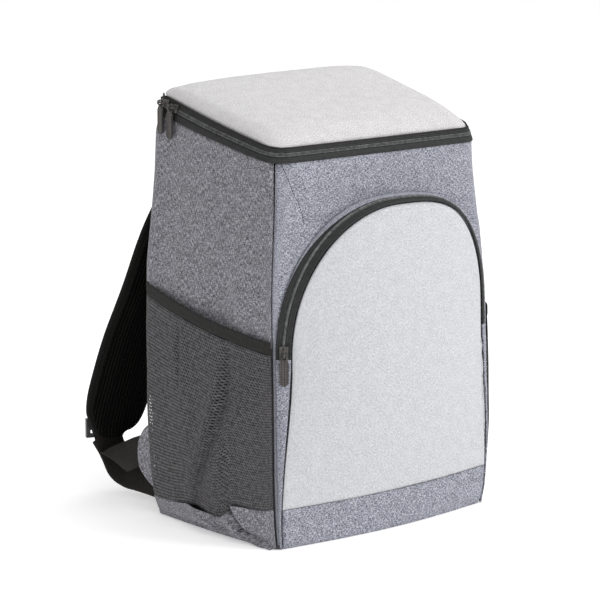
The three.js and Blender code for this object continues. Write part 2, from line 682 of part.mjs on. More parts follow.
function buildStraps() {
  HANDS.forEach(({ name, sign }) => {
    addMesh(`shoulder_pad_${name}`, strap(PAD_ROUTE, sign, 22, padProfile, turnLevel), padCloth);
    addMesh(`webbing_${name}`, strap(WEBBING_ROUTE, sign, 14, webbingProfile, turnUpright), webbingCloth);
    addMesh(`webbing_tail_${name}`, strap(TAIL_ROUTE, sign, 14, webbingProfile, turnUpright), webbingCloth);
    addMesh(`corner_tab_${name}`, cornerTab(sign), greyCloth);
    const last = PAD_ROUTE[PAD_ROUTE.length - 1];
    const holder = new THREE.Group();
    holder.position.copy(strapPlace(last, sign));
    holder.rotation.z = THREE.MathUtils.degToRad(sign * last.turn);
    bag.add(holder);
    const lock = addMesh(`ladder_lock_${name}`, ladderLock(), hardPlastic, holder);
    lock.rotation.x = Math.PI / 2;
    lock.position.set(sign * LOCK_SHIFT, PAD_THICKNESS / 2 + GAP + LOCK_THICKNESS, LOCK_RISE);
  });
}

const barTop = SLIDER_HEIGHT + BAR_HEIGHT;
const bridgeReach = EYE_WIDTH / 2 + 2 * GAP;

// Outline in a plane from pairs of places
const outlineOf = (pairs) => pairs.map(([a, b]) => new THREE.Vector2(a, b));

// Slider with a bar for its pull. Its length runs along x and its top faces -y.
function slider() {
  const [half, chamfer] = [SLIDER_LENGTH / 2, SLIDER_CHAMFER];
  const plateShape = new THREE.Shape(outlineOf([
    [-half, 0], [half, 0], [half, SLIDER_HEIGHT - chamfer], [half - chamfer, SLIDER_HEIGHT],
    [chamfer - half, SLIDER_HEIGHT], [-half, SLIDER_HEIGHT - chamfer],
  ]));
  const plate = new THREE.ExtrudeGeometry(plateShape, { depth: SLIDER_WIDTH, bevelEnabled: false });
  plate.translate(0, 0, -SLIDER_WIDTH / 2);
  const low = SLIDER_HEIGHT - 1;
  const [under, over] = [barTop - BAR_SIZE / 2, barTop + BAR_SIZE / 2];
  const end = bridgeReach + BAR_LEG;
  const bridgeShape = new THREE.Shape(outlineOf([
    [-end, low], [-bridgeReach, low], [-bridgeReach, under], [bridgeReach, under],
    [bridgeReach, low], [end, low], [end, over - chamfer], [end - chamfer, over],
    [chamfer - end, over], [-end, over - chamfer],
  ]));
  const bridge = new THREE.ExtrudeGeometry(bridgeShape, { depth: BAR_SIZE, bevelEnabled: false });
  bridge.translate(0, 0, -BAR_SIZE / 2);
  return joined([plate, bridge]).rotateX(Math.PI);
}

// Outline of a pull's tab below its neck, from one side of the neck to the other
function tabOutline(neck, start, width) {
  const half = width / 2;
  const [shoulder, low, corner] = [start - half, -PULL_LENGTH, width / 3];
  return [
    [-neck, start], [-half, shoulder], [-half, low + corner], [corner - half, low],
    [half - corner, low], [half, low + corner], [half, shoulder], [neck, start],
  ];
}

// Pull whose eye lies round a level bar. The eye's middle is the origin, and the tab hangs down.
function eyePull() {
  const ring = new THREE.Shape().absarc(0, 0, EYE_RADIUS, 0, 2 * Math.PI);
  ring.holes.push(new THREE.Path().absarc(0, 0, EYE_HOLE, 0, 2 * Math.PI));
  const eye = new THREE.ExtrudeGeometry(ring, { depth: EYE_WIDTH, bevelEnabled: false, curveSegments: 8 });
  eye.translate(0, 0, -EYE_WIDTH / 2);
  eye.rotateY(Math.PI / 2);
  const neck = EYE_WIDTH / 2;
  const outline = new THREE.Shape(outlineOf([
    ...tabOutline(neck, -EYE_RADIUS, PULL_WIDTH), [neck, -EYE_HOLE - 0.5], [-neck, -EYE_HOLE - 0.5],
  ]));
  const tab = new THREE.ExtrudeGeometry(outline, { depth: PULL_THICKNESS, bevelEnabled: false });
  tab.translate(0, 0, -PULL_THICKNESS / 2).rotateX(Math.PI / 2);
  return joined([eye, tab]);
}

// Pull with a slot round an upright bridge. The middle of the rim above the slot is the origin.
function slotPull() {
  const rim = PULL_RIM / 2;
  const half = SLOT_WIDTH / 2 + PULL_RIM;
  const outline = new THREE.Shape(outlineOf([
    ...tabOutline(half, rim - SLOT_REACH, PULL_WIDTH), [half, rim], [-half, rim],
  ]));
  const slot = outlineOf([
    [-SLOT_WIDTH / 2, -rim], [SLOT_WIDTH / 2, -rim],
    [SLOT_WIDTH / 2, -SLOT_REACH], [-SLOT_WIDTH / 2, -SLOT_REACH],
  ]);
  outline.holes.push(new THREE.Path(slot));
  const tab = new THREE.ExtrudeGeometry(outline, { depth: PULL_RIM, bevelEnabled: false });
  return tab.translate(0, 0, -PULL_RIM / 2).rotateX(Math.PI / 2);
}

// Seat of a slider at a point: facing turns it about the upright, lean tips its top upwards
function sliderSeat(point, facing, lean) {
  const seat = new THREE.Group();
  seat.position.copy(point);
  seat.rotation.z = facing;
  const top = new THREE.Group();
  top.rotation.x = -lean;
  seat.add(top);
  bag.add(seat);
  return { seat, top };
}

function addLidSlider(name, deep) {
  const middle = (COIL_LOW + COIL_HIGH) / 2;
  const along = sideAlong(-1, deep);
  const point = lidBandPoint(along, middle, COIL_RISE);
  const rise = lidBandPoint(along, COIL_HIGH, COIL_RISE).sub(lidBandPoint(along, COIL_LOW, COIL_RISE));
  const lean = Math.atan2(Math.hypot(rise.x, rise.y), rise.z);
  const run = lidBandPoint(along + seam, middle, COIL_RISE).sub(point);
  const { seat, top } = sliderSeat(point, Math.atan2(run.y, run.x), lean);
  addMesh(`${name}_slider`, slider(), hardPlastic, top).position.y = -SLIDER_GAP;
  const reach = SLIDER_GAP + barTop;
  addMesh(`${name}_pull`, eyePull(), pullRubber, seat)
    .position.set(0, -reach * Math.cos(lean), reach * Math.sin(lean));
}

function addPocketSlider() {
  const { outer, inner, normal } = archFrame(POCKET_SLIDER_SHARE);
  const point = outer.lerp(inner, (POCKET_COIL_LOW + POCKET_COIL_HIGH) / 2);
  point.addScaledVector(normal, COIL_RISE);
  const { seat, top } = sliderSeat(point, Math.atan2(normal.x, -normal.y), 0);
  top.rotation.y = Math.PI / 2;
  addMesh('pocket_slider', slider(), hardPlastic, top).position.y = -SLIDER_GAP;
  const window = barTop - BAR_SIZE / 2 - SLIDER_HEIGHT;
  addMesh('pocket_pull', slotPull(), pullRubber, seat)
    .position.set(0, -SLIDER_GAP - SLIDER_HEIGHT - window / 2, PULL_RIM / 2 + GAP - bridgeReach);
}

function buildSliders() {
  LID_SLIDER_PLACES.forEach((deep, index) => addLidSlider(`lid_${index + 1}`, deep));
  addPocketSlider();
}

buildBody();
buildLid();
buildPocket();
buildSidePockets();
buildStraps();
buildSliders();

export default bag;
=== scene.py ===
import math

import bmesh
import bpy
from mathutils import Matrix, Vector, noise


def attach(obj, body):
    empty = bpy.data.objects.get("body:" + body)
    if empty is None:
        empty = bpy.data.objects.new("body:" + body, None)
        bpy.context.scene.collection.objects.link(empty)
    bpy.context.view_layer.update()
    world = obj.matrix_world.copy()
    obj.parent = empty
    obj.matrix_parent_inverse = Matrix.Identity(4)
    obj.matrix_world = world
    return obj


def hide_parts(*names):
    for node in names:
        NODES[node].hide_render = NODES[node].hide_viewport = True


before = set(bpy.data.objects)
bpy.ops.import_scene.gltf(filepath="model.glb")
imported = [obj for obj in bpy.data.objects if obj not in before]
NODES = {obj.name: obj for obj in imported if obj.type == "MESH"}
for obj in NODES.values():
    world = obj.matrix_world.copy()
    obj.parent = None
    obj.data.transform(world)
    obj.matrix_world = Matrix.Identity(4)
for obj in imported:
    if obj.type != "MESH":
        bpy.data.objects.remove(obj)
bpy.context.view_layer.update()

BODY = "bag"

# Sizes of the frame, in millimetres
WIDTH, DEPTH = 280.0, 196.0
RIM_FRONT_LEFT, RIM_FRONT_RIGHT, RIM_BACK_RIGHT, RIM_BACK_LEFT = 387.0, 385.0, 430.0, 426.0
RIM = (RIM_FRONT_LEFT, RIM_FRONT_RIGHT, RIM_BACK_RIGHT, RIM_BACK_LEFT)
BODY_HEIGHT = sum(RIM) / 4
WALL, BASE_THICKNESS, GAP, CLOTH = 5.0, 4.0, 0.3, 1.6
CORNER = 0.1
SEAM = (0.45 / 2) * CORNER * 4 / (math.pi * 8)
CROWNS = (11.0, 3.0, 3.0, 3.0)
LID_WALL, LID_DOME, LID_INSET = 5.0, 17.0, 4.5
LID_BAND_FRONT, LID_BAND_BACK = 13.0, 18.0
TAPE_RISE = 0.6
COIL_LOW, COIL_HIGH, TOOTH_PITCH = 0.45, 0.7, 1.7
POCKET_EDGE, POCKET_INSET, POCKET_SPRING, POCKET_TOP = 4.0, 13.0, 188.0, 332.0
POCKET_TOP_INSET, POCKET_SIDE_DEPTH, POCKET_TOP_DEPTH, POCKET_FOOT_DEPTH = 5.0, 7.0, 22.0, 3.0
POCKET_SEAM, ARCH_LEFT, ARCH_RIGHT, POCKET_CLOTH = 40.0, 2.05, 2.9, 2.2
POCKET_COIL_LOW, POCKET_COIL_HIGH = 0.4, 0.6
NET_FRONT, NET_BACK, NET_CLOTH, NET_BULGE = 205.0, 241.0, 1.2, 11.0
BINDING_WIDTH, BINDING_CLOTH, BAND_FOOT = 13.0, 2.0, 0.6
PAD_WIDTH, PAD_THICKNESS = 68.0, 12.0
WEBBING_WIDTH, WEBBING_CLOTH = 30.0, 1.6
TAB_CLOTH, WEBBING_SLOPE = 3.0, 0.36
CORNER_SWELL = 3.5
# Net: cells across and up, how far a row slants, share of a cell that is cord, cord's thickness
NET_WIDE, NET_TALL, NET_SLANT, NET_CORD_SHARE, NET_CORD = 62, 60, 0.6, 0.22, 0.6
NET_MARGIN = 0.012
# Lengths that texture places run over: across the front, across a side, up the body
ACROSS, DEEP, UP = 280, 190, 400

# Outline of the body: rise, half width, lean, front, back
SECTIONS = [
    (0.0, 0.985, 0.008, 0.94, 0.965), (0.06, 1.012, 0.012, 0.95, 1.0),
    (0.4, 1.027, 0.018, 0.93, 1.06), (0.62, 1.018, 0.024, 0.893, 1.085),
    (0.8, 0.985, 0.032, 0.855, 1.07), (1.0, 0.988, 0.052, 0.826, 1.04)]
# Hollows of the nets: place, reach, drop
CREASES = [(0.3, 0.07, 0.32), (0.52, 0.06, 0.22), (0.74, 0.08, 0.28)]
# Upper edge of the side bands: place, top, fold
BANDS = [
    (0.0, 1.04, 0.0), (0.1, 0.98, 0.06), (0.2, 0.94, 0.2), (0.285, 0.93, 0.5),
    (0.315, 0.88, 0.6), (0.345, 0.66, 0.3), (0.39, 0.53, 0.1), (0.47, 0.55, 0.35),
    (0.59, 0.64, 0.45), (0.75, 0.53, 0.2), (1.0, 0.47, 0.0)]
# Folds of the side bands: share of the rise, place from the front
CREVICE = [(0.0, 0.05), (0.15, 0.12), (0.3, 0.24), (0.6, 0.29), (1.0, 0.33)]
RIDGE = [(0.0, 0.16), (0.2, 0.3), (0.42, 0.44), (0.8, 0.54), (1.0, 0.56)]
# Middle lines of the straps: across, behind, rise, turn, and the width of the pad
PAD_ROUTE = [
    (0.32, 1.141, 0.915, 0, 0.86), (0.39, 1.183, 0.855, 4, 0.9), (0.48, 1.227, 0.79, 8, 0.94),
    (0.57, 1.28, 0.705, 12, 0.97), (0.68, 1.325, 0.62, 15, 1.0), (0.77, 1.425, 0.51, 17, 1.0),
    (0.84, 1.6, 0.39, 19, 1.0), (0.9, 1.765, 0.25, 20, 0.99), (0.924, 1.813, 0.195, 20, 0.88),
    (0.934, 1.832, 0.163, 20, 0.61), (0.928, 1.841, 0.148, 20, 0.34)]
WEBBING_ROUTE = [
    (0.981, 1.18, 0.143, 90), (0.981, 1.306, 0.132, 90), (0.973, 1.48, 0.114, 87),
    (0.966, 1.643, 0.098, 68), (0.951, 1.765, 0.09, 40), (0.917, 1.837, 0.1, 12),
    (0.917, 1.874, 0.118, 2), (0.932, 1.893, 0.142, 0)]
TAIL_ROUTE = [
    (0.92, 1.978, 0.142, 0), (0.873, 1.963, 0.114, -12), (0.847, 1.918, 0.087, -26),
    (0.845, 1.827, 0.062, -42), (0.838, 1.694, 0.052, -58), (0.835, 1.51, 0.052, -66),
    (0.845, 1.306, 0.053, -70), (0.855, 1.153, 0.053, -72)]
# Where the webbing runs on above its lock: lift, behind
LOCK_LOOP = ((3, 0.4), (6, 2.0), (9, 4.5), (12, 5.5))
# Outline of the corner tabs: reach, rise
TAB_OUTLINE = [
    (0.0, 0.06), (0.11, 0.075), (0.22, 0.1), (0.235, 0.14), (0.19, 0.175), (0.1, 0.2), (0.0, 0.215)]
HANDS = (("left", -1), ("right", 1))


def lerp(a, b, t):
    return a + (b - a) * t


def clamp(x, low=0.0, high=1.0):
    return max(low, min(high, x))


def smooth(x, low, high):
    t = clamp((x - low) / (high - low))
    return t * t * (3 - 2 * t)


def steps(count, start=0.0, end=1.0):
    return [lerp(start, end, i / count) for i in range(count + 1)]


def bell(x, centre, width):
    return math.exp(-((x - centre) / width) ** 2)


def table(rows, column, at):
    """Cubic through one column of rows that are keyed by their first value"""
    at = clamp(at, rows[0][0], rows[-1][0])
    i = 1
    while i < len(rows) - 1 and rows[i][0] <= at:
        i += 1
    t0, t1 = rows[i - 1][0], rows[i][0]
    before = i - 2 if i > 1 else i
    after = i + 1 if i + 1 < len(rows) else i - 1
    t_before, t_after = rows[before][0], rows[after][0]
    half = (t1 - t0) * 0.5
    w_before, w_after = half / (t0 - t_before), half / (t_after - t1)
    p = (at - t0) / (t1 - t0)
    p2, p3 = p * p, p * p * p
    return ((-w_before * p3 + 2 * w_before * p2 - w_before * p) * rows[before][column]
            + ((1 + w_before) * p3 + (-1.5 - 2 * w_before) * p2 + (-0.5 + w_before) * p + 1)
            * rows[i - 1][column]
            + ((-1 - w_after) * p3 + (1.5 + w_after) * p2 + 0.5 * p) * rows[i][column]
            + (w_after * p3 - w_after * p2) * rows[after][column])


class Section:
    """The body's outline at a height"""
    known = {}

    def __init__(self, z):
        rise = z / BODY_HEIGHT
        self.half = WIDTH / 2 * table(SECTIONS, 1, rise)
        self.lean = WIDTH / 2 * table(SECTIONS, 2, rise)
        self.front = -DEPTH / 2 * table(SECTIONS, 3, rise)
        self.back = DEPTH / 2 * table(SECTIONS, 4, rise)
        upper = smooth(rise, 0.6, 1)
        self.front_radius = lerp(8, 27, upper)
        self.back_radius = lerp(12, 17, upper)
        self.crowns = (CROWNS[0] * (1 - min(rise, 1)),) + CROWNS[1:]


def section(z):
    key = round(z, 3)
    if key not in Section.known:
        Section.known[key] = Section(key)
    return Section.known[key]


def wall(along, z, inset=0.0):
    """Point of the body's outer face. along runs 0 to 4 round it from the front left corner."""
    s = section(z)
    turn = along % 4
    side = min(int(turn), 3)
    share = turn - side
    ends = ((-s.half, s.front), (s.half, s.front), (s.half, s.back), (-s.half, s.back))
    radii = (s.front_radius, s.front_radius, s.back_radius, s.back_radius)
    start, end = ends[side], ends[(side + 1) % 4]
    length = math.hypot(end[0] - start[0], end[1] - start[1])
    run = ((end[0] - start[0]) / length, (end[1] - start[1]) / length)
    out = (run[1], -run[0])

    def arc(centre, radius, angle):
        normal = [out[k] * math.cos(angle) + run[k] * math.sin(angle) for k in (0, 1)]
        return [centre[k] - out[k] * radius + normal[k] * (radius - inset) for k in (0, 1)]

    if share < CORNER:
        radius = radii[side]
        angle = (share / CORNER - 1) * math.pi / 4
        place = arc([start[k] + run[k] * radius for k in (0, 1)], radius, angle)
    elif share > 1 - CORNER:
        radius = radii[(side + 1) % 4]
        angle = ((share - 1) / CORNER + 1) * math.pi / 4
        place = arc([end[k] - run[k] * radius for k in (0, 1)], radius, angle)
    else:
        flat = (share - CORNER) / (1 - 2 * CORNER)
        bulge = s.crowns[side] * math.sin(math.pi * flat) - inset
        near, far = radii[side], radii[(side + 1) % 4]
        place = [lerp(start[k] + run[k] * near, end[k] - run[k] * far, flat) + out[k] * bulge
                 for k in (0, 1)]
    return Vector((place[0] + s.lean, place[1], z))


def rim_height(along):
    turn = along % 4
    side = min(int(turn), 3)
    return lerp(RIM[side], RIM[(side + 1) % 4], turn - side)


def band_height(along):
    turn = along % 4
    backness = 4 - turn if turn >= 3 else clamp(turn - 1)
    return lerp(LID_BAND_FRONT, LID_BAND_BACK, backness)


def side_shares(count):
    """Places across one side, close together round its corners"""
    corner = [lerp(SEAM, CORNER, i / 6) for i in range(6)]
    return corner + steps(count, CORNER, 1 - CORNER) + [1 - c for c in reversed(corner)]


def round_places(sides, count):
    places = []
    for side in sides:
        places += [side + share for share in side_shares(count)[:-1]]
    return places + [sides[-1] + 1 - SEAM]


def front_y(x, z):
    s = section(z)
    flat_half = s.half - s.front_radius
    across = x - s.lean
    over = abs(across) - flat_half
    if over > 0:
        return s.front + s.front_radius - math.sqrt(max(s.front_radius ** 2 - over ** 2, 0))
    return s.front - s.crowns[0] * math.cos(math.pi / 2 * across / flat_half)


def hum(p, scale, seed=0.0):
    """Smooth wander between -1 and 1 at a place"""
    return noise.noise(Vector((p[0] / scale + seed, p[1] / scale - seed, p[2] / scale + 2 * seed)))


def grid(rows, columns, point, uv):
    """Points, quads and texture places of a sheet"""
    points, places = [], []
    for u in rows:
        for v in columns:
            points.append(point(u, v))
            places.append(uv(u, v))
    wide = len(columns)
    quads = [(i * wide + j, i * wide + j + 1, (i + 1) * wide + j + 1, (i + 1) * wide + j)
             for i in range(len(rows) - 1) for j in range(wide - 1)]
    return points, quads, places


def link(made):
    bpy.context.scene.collection.objects.link(made)
    return made


def add_object(name, points, faces, material, places=None, body=BODY, replaces=(),
               smooth_faces=True):
    mesh = bpy.data.meshes.new(name)
    mesh.from_pydata([tuple(c / 1000 for c in p) for p in points], [], faces)
    mesh.materials.append(material)
    if places:
        layer = mesh.uv_layers.new(name="cloth")
        for loop in mesh.loops:
            u, v = places[loop.vertex_index]
            layer.data[loop.index].uv = (u / 100, v / 100)
    mesh.polygons.foreach_set("use_smooth", [smooth_faces] * len(mesh.polygons))
    mesh.update()
    piece = link(bpy.data.objects.new(name, mesh))
    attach(piece, body)
    if replaces:
        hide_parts(*replaces)
    return piece


def face_out(piece, inside):
    """Turn the sheet's faces away from a point inside"""
    mesh = piece.data
    inside = Vector(inside) / 1000
    total = sum((p.center - inside).dot(p.normal) * p.area for p in mesh.polygons)
    if total < 0:
        mesh.flip_normals()


def thicken(piece, cloth):
    solid = piece.modifiers.new("cloth", "SOLIDIFY")
    solid.thickness = cloth / 1000
    solid.offset = -1
    solid.use_even_offset = False
    return piece


def sheet_piece(name, rows, columns, point, uv, material, cloth, node, inside=(0, 0, 200)):
    points, quads, places = grid(rows, columns, point, uv)
    replaces = (node,) if node else ()
    piece = add_object(name, points, quads, material, places, replaces=replaces)
    face_out(piece, inside)
    return thicken(piece, cloth)


# Materials

def linear(r, g, b):
    def one(c):
        c /= 255
        return c / 12.92 if c <= 0.04045 else ((c + 0.055) / 1.055) ** 2.4
    return (one(r), one(g), one(b), 1.0)


class Paint:
    """Material with a principled shader and short ways to add and join nodes"""

    def __init__(self, name, roughness=0.9, sheen=0.0):
        self.material = bpy.data.materials.new(name)
        self.material.use_nodes = True
        self.tree = self.material.node_tree
        self.shader = self.tree.nodes["Principled BSDF"]
        self.shader.inputs["Roughness"].default_value = roughness
        self.shader.inputs["Specular IOR Level"].default_value = 0.25
        if sheen:
            self.shader.inputs["Sheen Weight"].default_value = sheen
            self.shader.inputs["Sheen Roughness"].default_value = 0.5

    def feed(self, socket, value):
        """Join an output to a socket, or set the socket's own value"""
        if isinstance(value, bpy.types.NodeSocket):
            self.tree.links.new(value, socket)
        else:
            socket.default_value = value

    def add(self, kind, settings=None, **inputs):
        made = self.tree.nodes.new("ShaderNode" + kind)
        for key, value in (settings or {}).items():
            setattr(made, key, value)
        for key, value in inputs.items():
            self.feed(made.inputs[key.replace("_", " ")], value)
        return made

    def maths(self, operation, a, b=0.0):
        made = self.tree.nodes.new("ShaderNodeMath")
        made.operation = operation
        for socket, value in zip(made.inputs, (a, b)):
            self.feed(socket, value)
        return made.outputs[0]

    def mix(self, factor, a, b):
        made = self.tree.nodes.new("ShaderNodeMix")
        made.data_type = "RGBA"
        for index, value in ((0, factor), (6, a), (7, b)):
            self.feed(made.inputs[index], value)
        return made.outputs[2]

    def places(self, scale, kind="UV"):
        source = self.add("TexCoord").outputs[kind]
        return self.add("Mapping", Vector=source, Scale=scale).outputs["Vector"]

    def noise(self, vector, scale, detail=2.0, rough=0.5):
        made = self.add("TexNoise", Vector=vector, Scale=scale, Detail=detail, Roughness=rough)
        return made.outputs["Fac"]

    def blend(self, *shares):
        """Sum of outputs, each times its share"""
        total = None
        for output, share in shares:
            part = self.maths("MULTIPLY", output, share)
            total = part if total is None else self.maths("ADD", total, part)
        return total

    def ramp(self, value, low, high):
        return self.add("MapRange", Value=value, From_Min=low, From_Max=high).outputs["Result"]

    def waves(self, vector, scale, direction):
        made = self.add("TexWave", {"bands_direction": direction}, Vector=vector, Scale=scale)
        return made.outputs["Fac"]

    def cells(self, vector, scale, randomness):
        made = self.add("TexVoronoi", {"feature": "F1"}, Vector=vector, Scale=scale,
                        Randomness=randomness)
        return made.outputs["Distance"]

    def bump(self, height, strength, distance):
        made = self.add("Bump", Height=height, Strength=strength, Distance=distance)
        self.feed(self.shader.inputs["Normal"], made.outputs["Normal"])

    def colour(self, output):
        self.feed(self.shader.inputs["Base Color"], output)


def heather(name, dark, middle, light, stretch, kind="UV"):
    """Melange cloth: fibres that run mostly one way, crossed by others"""
    fine, reach = 125.0, 0.1
    paint = Paint(name, 0.92, 0.1)
    unit = 1.0 if kind == "UV" else 10.0
    fibres = paint.places(tuple(unit * s for s in stretch), kind)
    crossed = paint.places((unit * stretch[1], unit * stretch[0], unit), kind)
    even = paint.places((unit, unit, unit), kind)
    streak = paint.noise(fibres, fine, 2.0, 0.7)
    weft = paint.noise(crossed, fine, 1.0, 0.6)
    cloud = paint.noise(even, 9.0, 3.0, 0.6)
    both = paint.blend((streak, 0.62), (weft, 0.38), (paint.maths("SUBTRACT", cloud, 0.5), 0.12))
    low = paint.mix(paint.ramp(both, 0.5 - reach, 0.5), dark, middle)
    paint.colour(paint.mix(paint.ramp(both, 0.5, 0.5 + reach), low, light))
    weave = paint.maths("MULTIPLY", paint.waves(even, 34.0, "X"), paint.waves(even, 34.0, "Y"))
    height = paint.maths("ADD", paint.maths("MULTIPLY", weave, 0.5), streak)
    paint.bump(height, 0.35, 0.0005)
    return paint.material


def plain_cloth(name, dark, light, scale, roughness=0.85, sheen=0.1, rib="X"):
    """Woven tape or webbing with fine ribs"""
    paint = Paint(name, roughness, sheen)
    even = paint.places((1, 1, 1))
    ribs = paint.waves(even, scale, rib)
    cross = paint.waves(even, scale * 1.3, "Y" if rib == "X" else "X")
    wander = paint.noise(even, 25.0, 3.0)
    tone = paint.blend((ribs, 0.3), (wander, 0.7))
    paint.colour(paint.mix(paint.ramp(tone, 0.25, 0.85), dark, light))
    paint.bump(paint.maths("ADD", ribs, paint.maths("MULTIPLY", cross, 0.6)), 0.4, 0.0004)
    return paint.material


def shadowed(name, source, share):
    """Darker twin of a cloth: painted shade for where the nets lie over it"""
    twin = source.copy()
    twin.name = name
    shader = twin.node_tree.nodes["Principled BSDF"]
    link = shader.inputs["Base Color"].links[0]
    darker = twin.node_tree.nodes.new("ShaderNodeMix")
    darker.data_type = "RGBA"
    darker.inputs[0].default_value = share
    darker.inputs[7].default_value = (0.0, 0.0, 0.0, 1.0)
    twin.node_tree.links.new(link.from_socket, darker.inputs[6])
    twin.node_tree.links.new(darker.outputs[2], shader.inputs["Base Color"])
    return twin


def air_mesh(name, dark, light):
    """Spacer mesh: ribs with small holes between them"""
    paint = Paint(name, 0.95)
    paint.shader.inputs["Specular IOR Level"].default_value = 0.08
    even = paint.places((1, 1, 1))
    ribs = paint.waves(even, 9.0, "X")
    cells = paint.cells(paint.places((1.0, 1.6, 1.0)), 34.0, 0.25)
    holes = paint.ramp(cells, 0.2, 0.5)
    tone = paint.maths("MULTIPLY", paint.ramp(ribs, 0.1, 0.9), holes)
    paint.colour(paint.mix(tone, dark, light))
    paint.bump(paint.maths("ADD", ribs, holes), 0.7, 0.0012)
    return paint.material


def dotted_rubber(name):
    paint = Paint(name, 0.6)
    even = paint.places((1, 1, 1), "Object")
    cells = paint.cells(even, 620.0, 0.1)
    dots = paint.ramp(cells, 0.55, 0.15)
    wear = paint.noise(even, 300.0, 2.0)
    tone = paint.blend((dots, 0.7), (wear, 0.3))
    paint.colour(paint.mix(tone, linear(40, 38, 37), linear(112, 107, 104)))
    paint.bump(dots, 0.6, 0.0005)
    return paint.material


def moulded(name, dark, light, roughness, metal=0.0):
    paint = Paint(name, roughness)
    paint.shader.inputs["Metallic"].default_value = metal
    paint.shader.inputs["Specular IOR Level"].default_value = 0.5
    even = paint.places((1, 1, 1), "Object")
    wander = paint.noise(even, 400.0, 3.0)
    paint.colour(paint.mix(paint.ramp(wander, 0.35, 0.65), dark, light))
    paint.bump(wander, 0.15, 0.0003)
    return paint.material


GREY_FRONT = heather("grey_front", linear(78, 80, 90), linear(131, 132, 143),
                     linear(190, 192, 201), (0.3, 1, 1))
# The sides' grey is painted darker than the front's: painted shade of the panels, bands and tabs
# that face away from the key light
GREY_SIDE_SHADED = heather("grey_side_painted_shade", linear(70, 68, 74), linear(114, 113, 119),
                    linear(171, 170, 178), (1, 0.2, 1))
# Side grey darkened for the panels behind the nets: painted shade, seen through the net's holes
GREY_NET_SHADE = shadowed("grey_painted_net_shade", GREY_SIDE_SHADED, 0.8)
LIGHT = heather("light_cloth", linear(164, 165, 168), linear(188, 189, 192),
                linear(206, 207, 210), (0.35, 1, 1))
# The lid's cloth is the pocket's light cloth painted lighter: painted light on the top, which faces
# the lamps
LID_CLOTH_LIT = heather("lid_cloth_painted_light", linear(168, 166, 167), linear(196, 194, 195),
              linear(218, 217, 218), (0.6, 1, 1))
BASE = heather("base_cloth", linear(66, 62, 64), linear(84, 79, 82),
               linear(108, 104, 107), (1, 1, 1), "Object")
TAPE = plain_cloth("zip_tape", linear(34, 35, 35), linear(60, 61, 60), 16.0, 0.85, 0.0)
COIL = plain_cloth("zip_coil", linear(28, 29, 29), linear(138, 140, 139), 30.0, 0.6, 0.0)
BINDING = plain_cloth("binding", linear(30, 29, 28), linear(52, 51, 50), 20.0, 0.85, 0.0, rib="Y")
NET = plain_cloth("net_cord", linear(44, 43, 44), linear(128, 126, 129), 45.0, 0.8, 0.0)
MESH = air_mesh("air_mesh", linear(2, 2, 2), linear(27, 26, 24))
BACK_MESH = air_mesh("back_mesh", linear(14, 14, 14), linear(58, 57, 55))
PAD_EDGE = plain_cloth("pad_binding", linear(8, 8, 7), linear(18, 17, 15), 24.0, 0.95, 0.0)
WEBBING = plain_cloth("webbing", linear(14, 12, 10), linear(38, 35, 31), 22.0, 0.8, 0.0)
THREAD = plain_cloth("thread", linear(16, 17, 21), linear(34, 35, 41), 80.0)
RUBBER = dotted_rubber("pull_rubber")
PLASTIC = moulded("lock_plastic", linear(34, 34, 34), linear(62, 62, 62), 0.35)
SLIDER = moulded("slider_metal", linear(46, 45, 43), linear(90, 88, 85), 0.4, 0.3)


# Body

def seam_roll(share, length, depth=1.6, width=2.2):
    """How far a panel's edge rolls in at its seams"""
    near = min(share - SEAM, 1 - SEAM - share) * length
    return depth * math.exp(-max(near, 0) / width)


def side_dents(deep, z):
    """Soft hollows and ridges of the left and right panels above the nets"""
    hollow = 4.5 * bell(deep, 0.44, 0.1) * bell(z, 234, 34)
    ridge = 3.0 * bell(deep, 0.25, 0.07) * bell(z, 240, 40)
    long = 1.8 * bell(deep, 0.34, 0.12) * smooth(z, 250, 330) * (1 - smooth(z, 350, 400))
    back = 1.6 * bell(deep, 0.75, 0.12) * bell(z, 330, 50)
    return ridge - hollow - long - back


def front_dents(x, z):
    """Puckers of the front panel between the lid and the pocket"""
    line = -128 + 0.45 * (385 - z)
    pucker = 2.0 * bell(x, line + 5, 7) * smooth(z, 305, 330)
    slack = 1.8 * bell(x, -60, 45) * bell(z, 352, 15) - 1.6 * bell(x, 50, 60) * bell(z, 348, 13)
    return slack - pucker + 1.2 * bell(x, -92, 12) * bell(z, 330, 30)


def panel_point(side, along, z):
    share = along - side
    length = ACROSS if side % 2 == 0 else DEEP
    inset = seam_roll(share, length)
    place = wall(along, z)
    inset -= 0.5 * hum(place, 38, side + 1.0) + 0.25 * hum(place, 15, side + 4.0)
    swell = CORNER_SWELL * smooth(z, 90, 170) * (1 - smooth(z, 388, 408))
    if side == 0:
        inset -= front_dents(place.x, z)
    elif side == 2:
        inset -= swell * (1 - smooth(min(share, 1 - share), 0.04, 0.2))
    elif side in (1, 3):
        deep = share if side == 1 else 1 - share
        inset -= side_dents(deep, z) + swell * smooth(deep, 0.8, 0.96)
    return wall(along, z, inset)


def build_wall(name, side, top_at, material):
    foot = BASE_THICKNESS + GAP
    length = ACROSS if side % 2 == 0 else DEEP
    piece = sheet_piece(
        name + "_cloth", steps(120), [side + s for s in side_shares(70)],
        lambda rise, along: panel_point(side, along, lerp(foot, top_at(along), rise)),
        lambda rise, along: ((along - side) * length, rise * UP),
        material, WALL - 1, name)
    # Faces below the net's binding take the darker twin: painted shade of the net over the side
    # panels
    if side in (1, 3):
        mesh = piece.data
        mesh.materials.append(GREY_NET_SHADE)
        front, back = section(100).front, section(100).back
        for polygon in mesh.polygons:
            deep = clamp((polygon.center.y * 1000 - front) / (back - front))
            if polygon.center.z * 1000 < net_top(deep) - BINDING_WIDTH / 2:
                polygon.material_index = 1


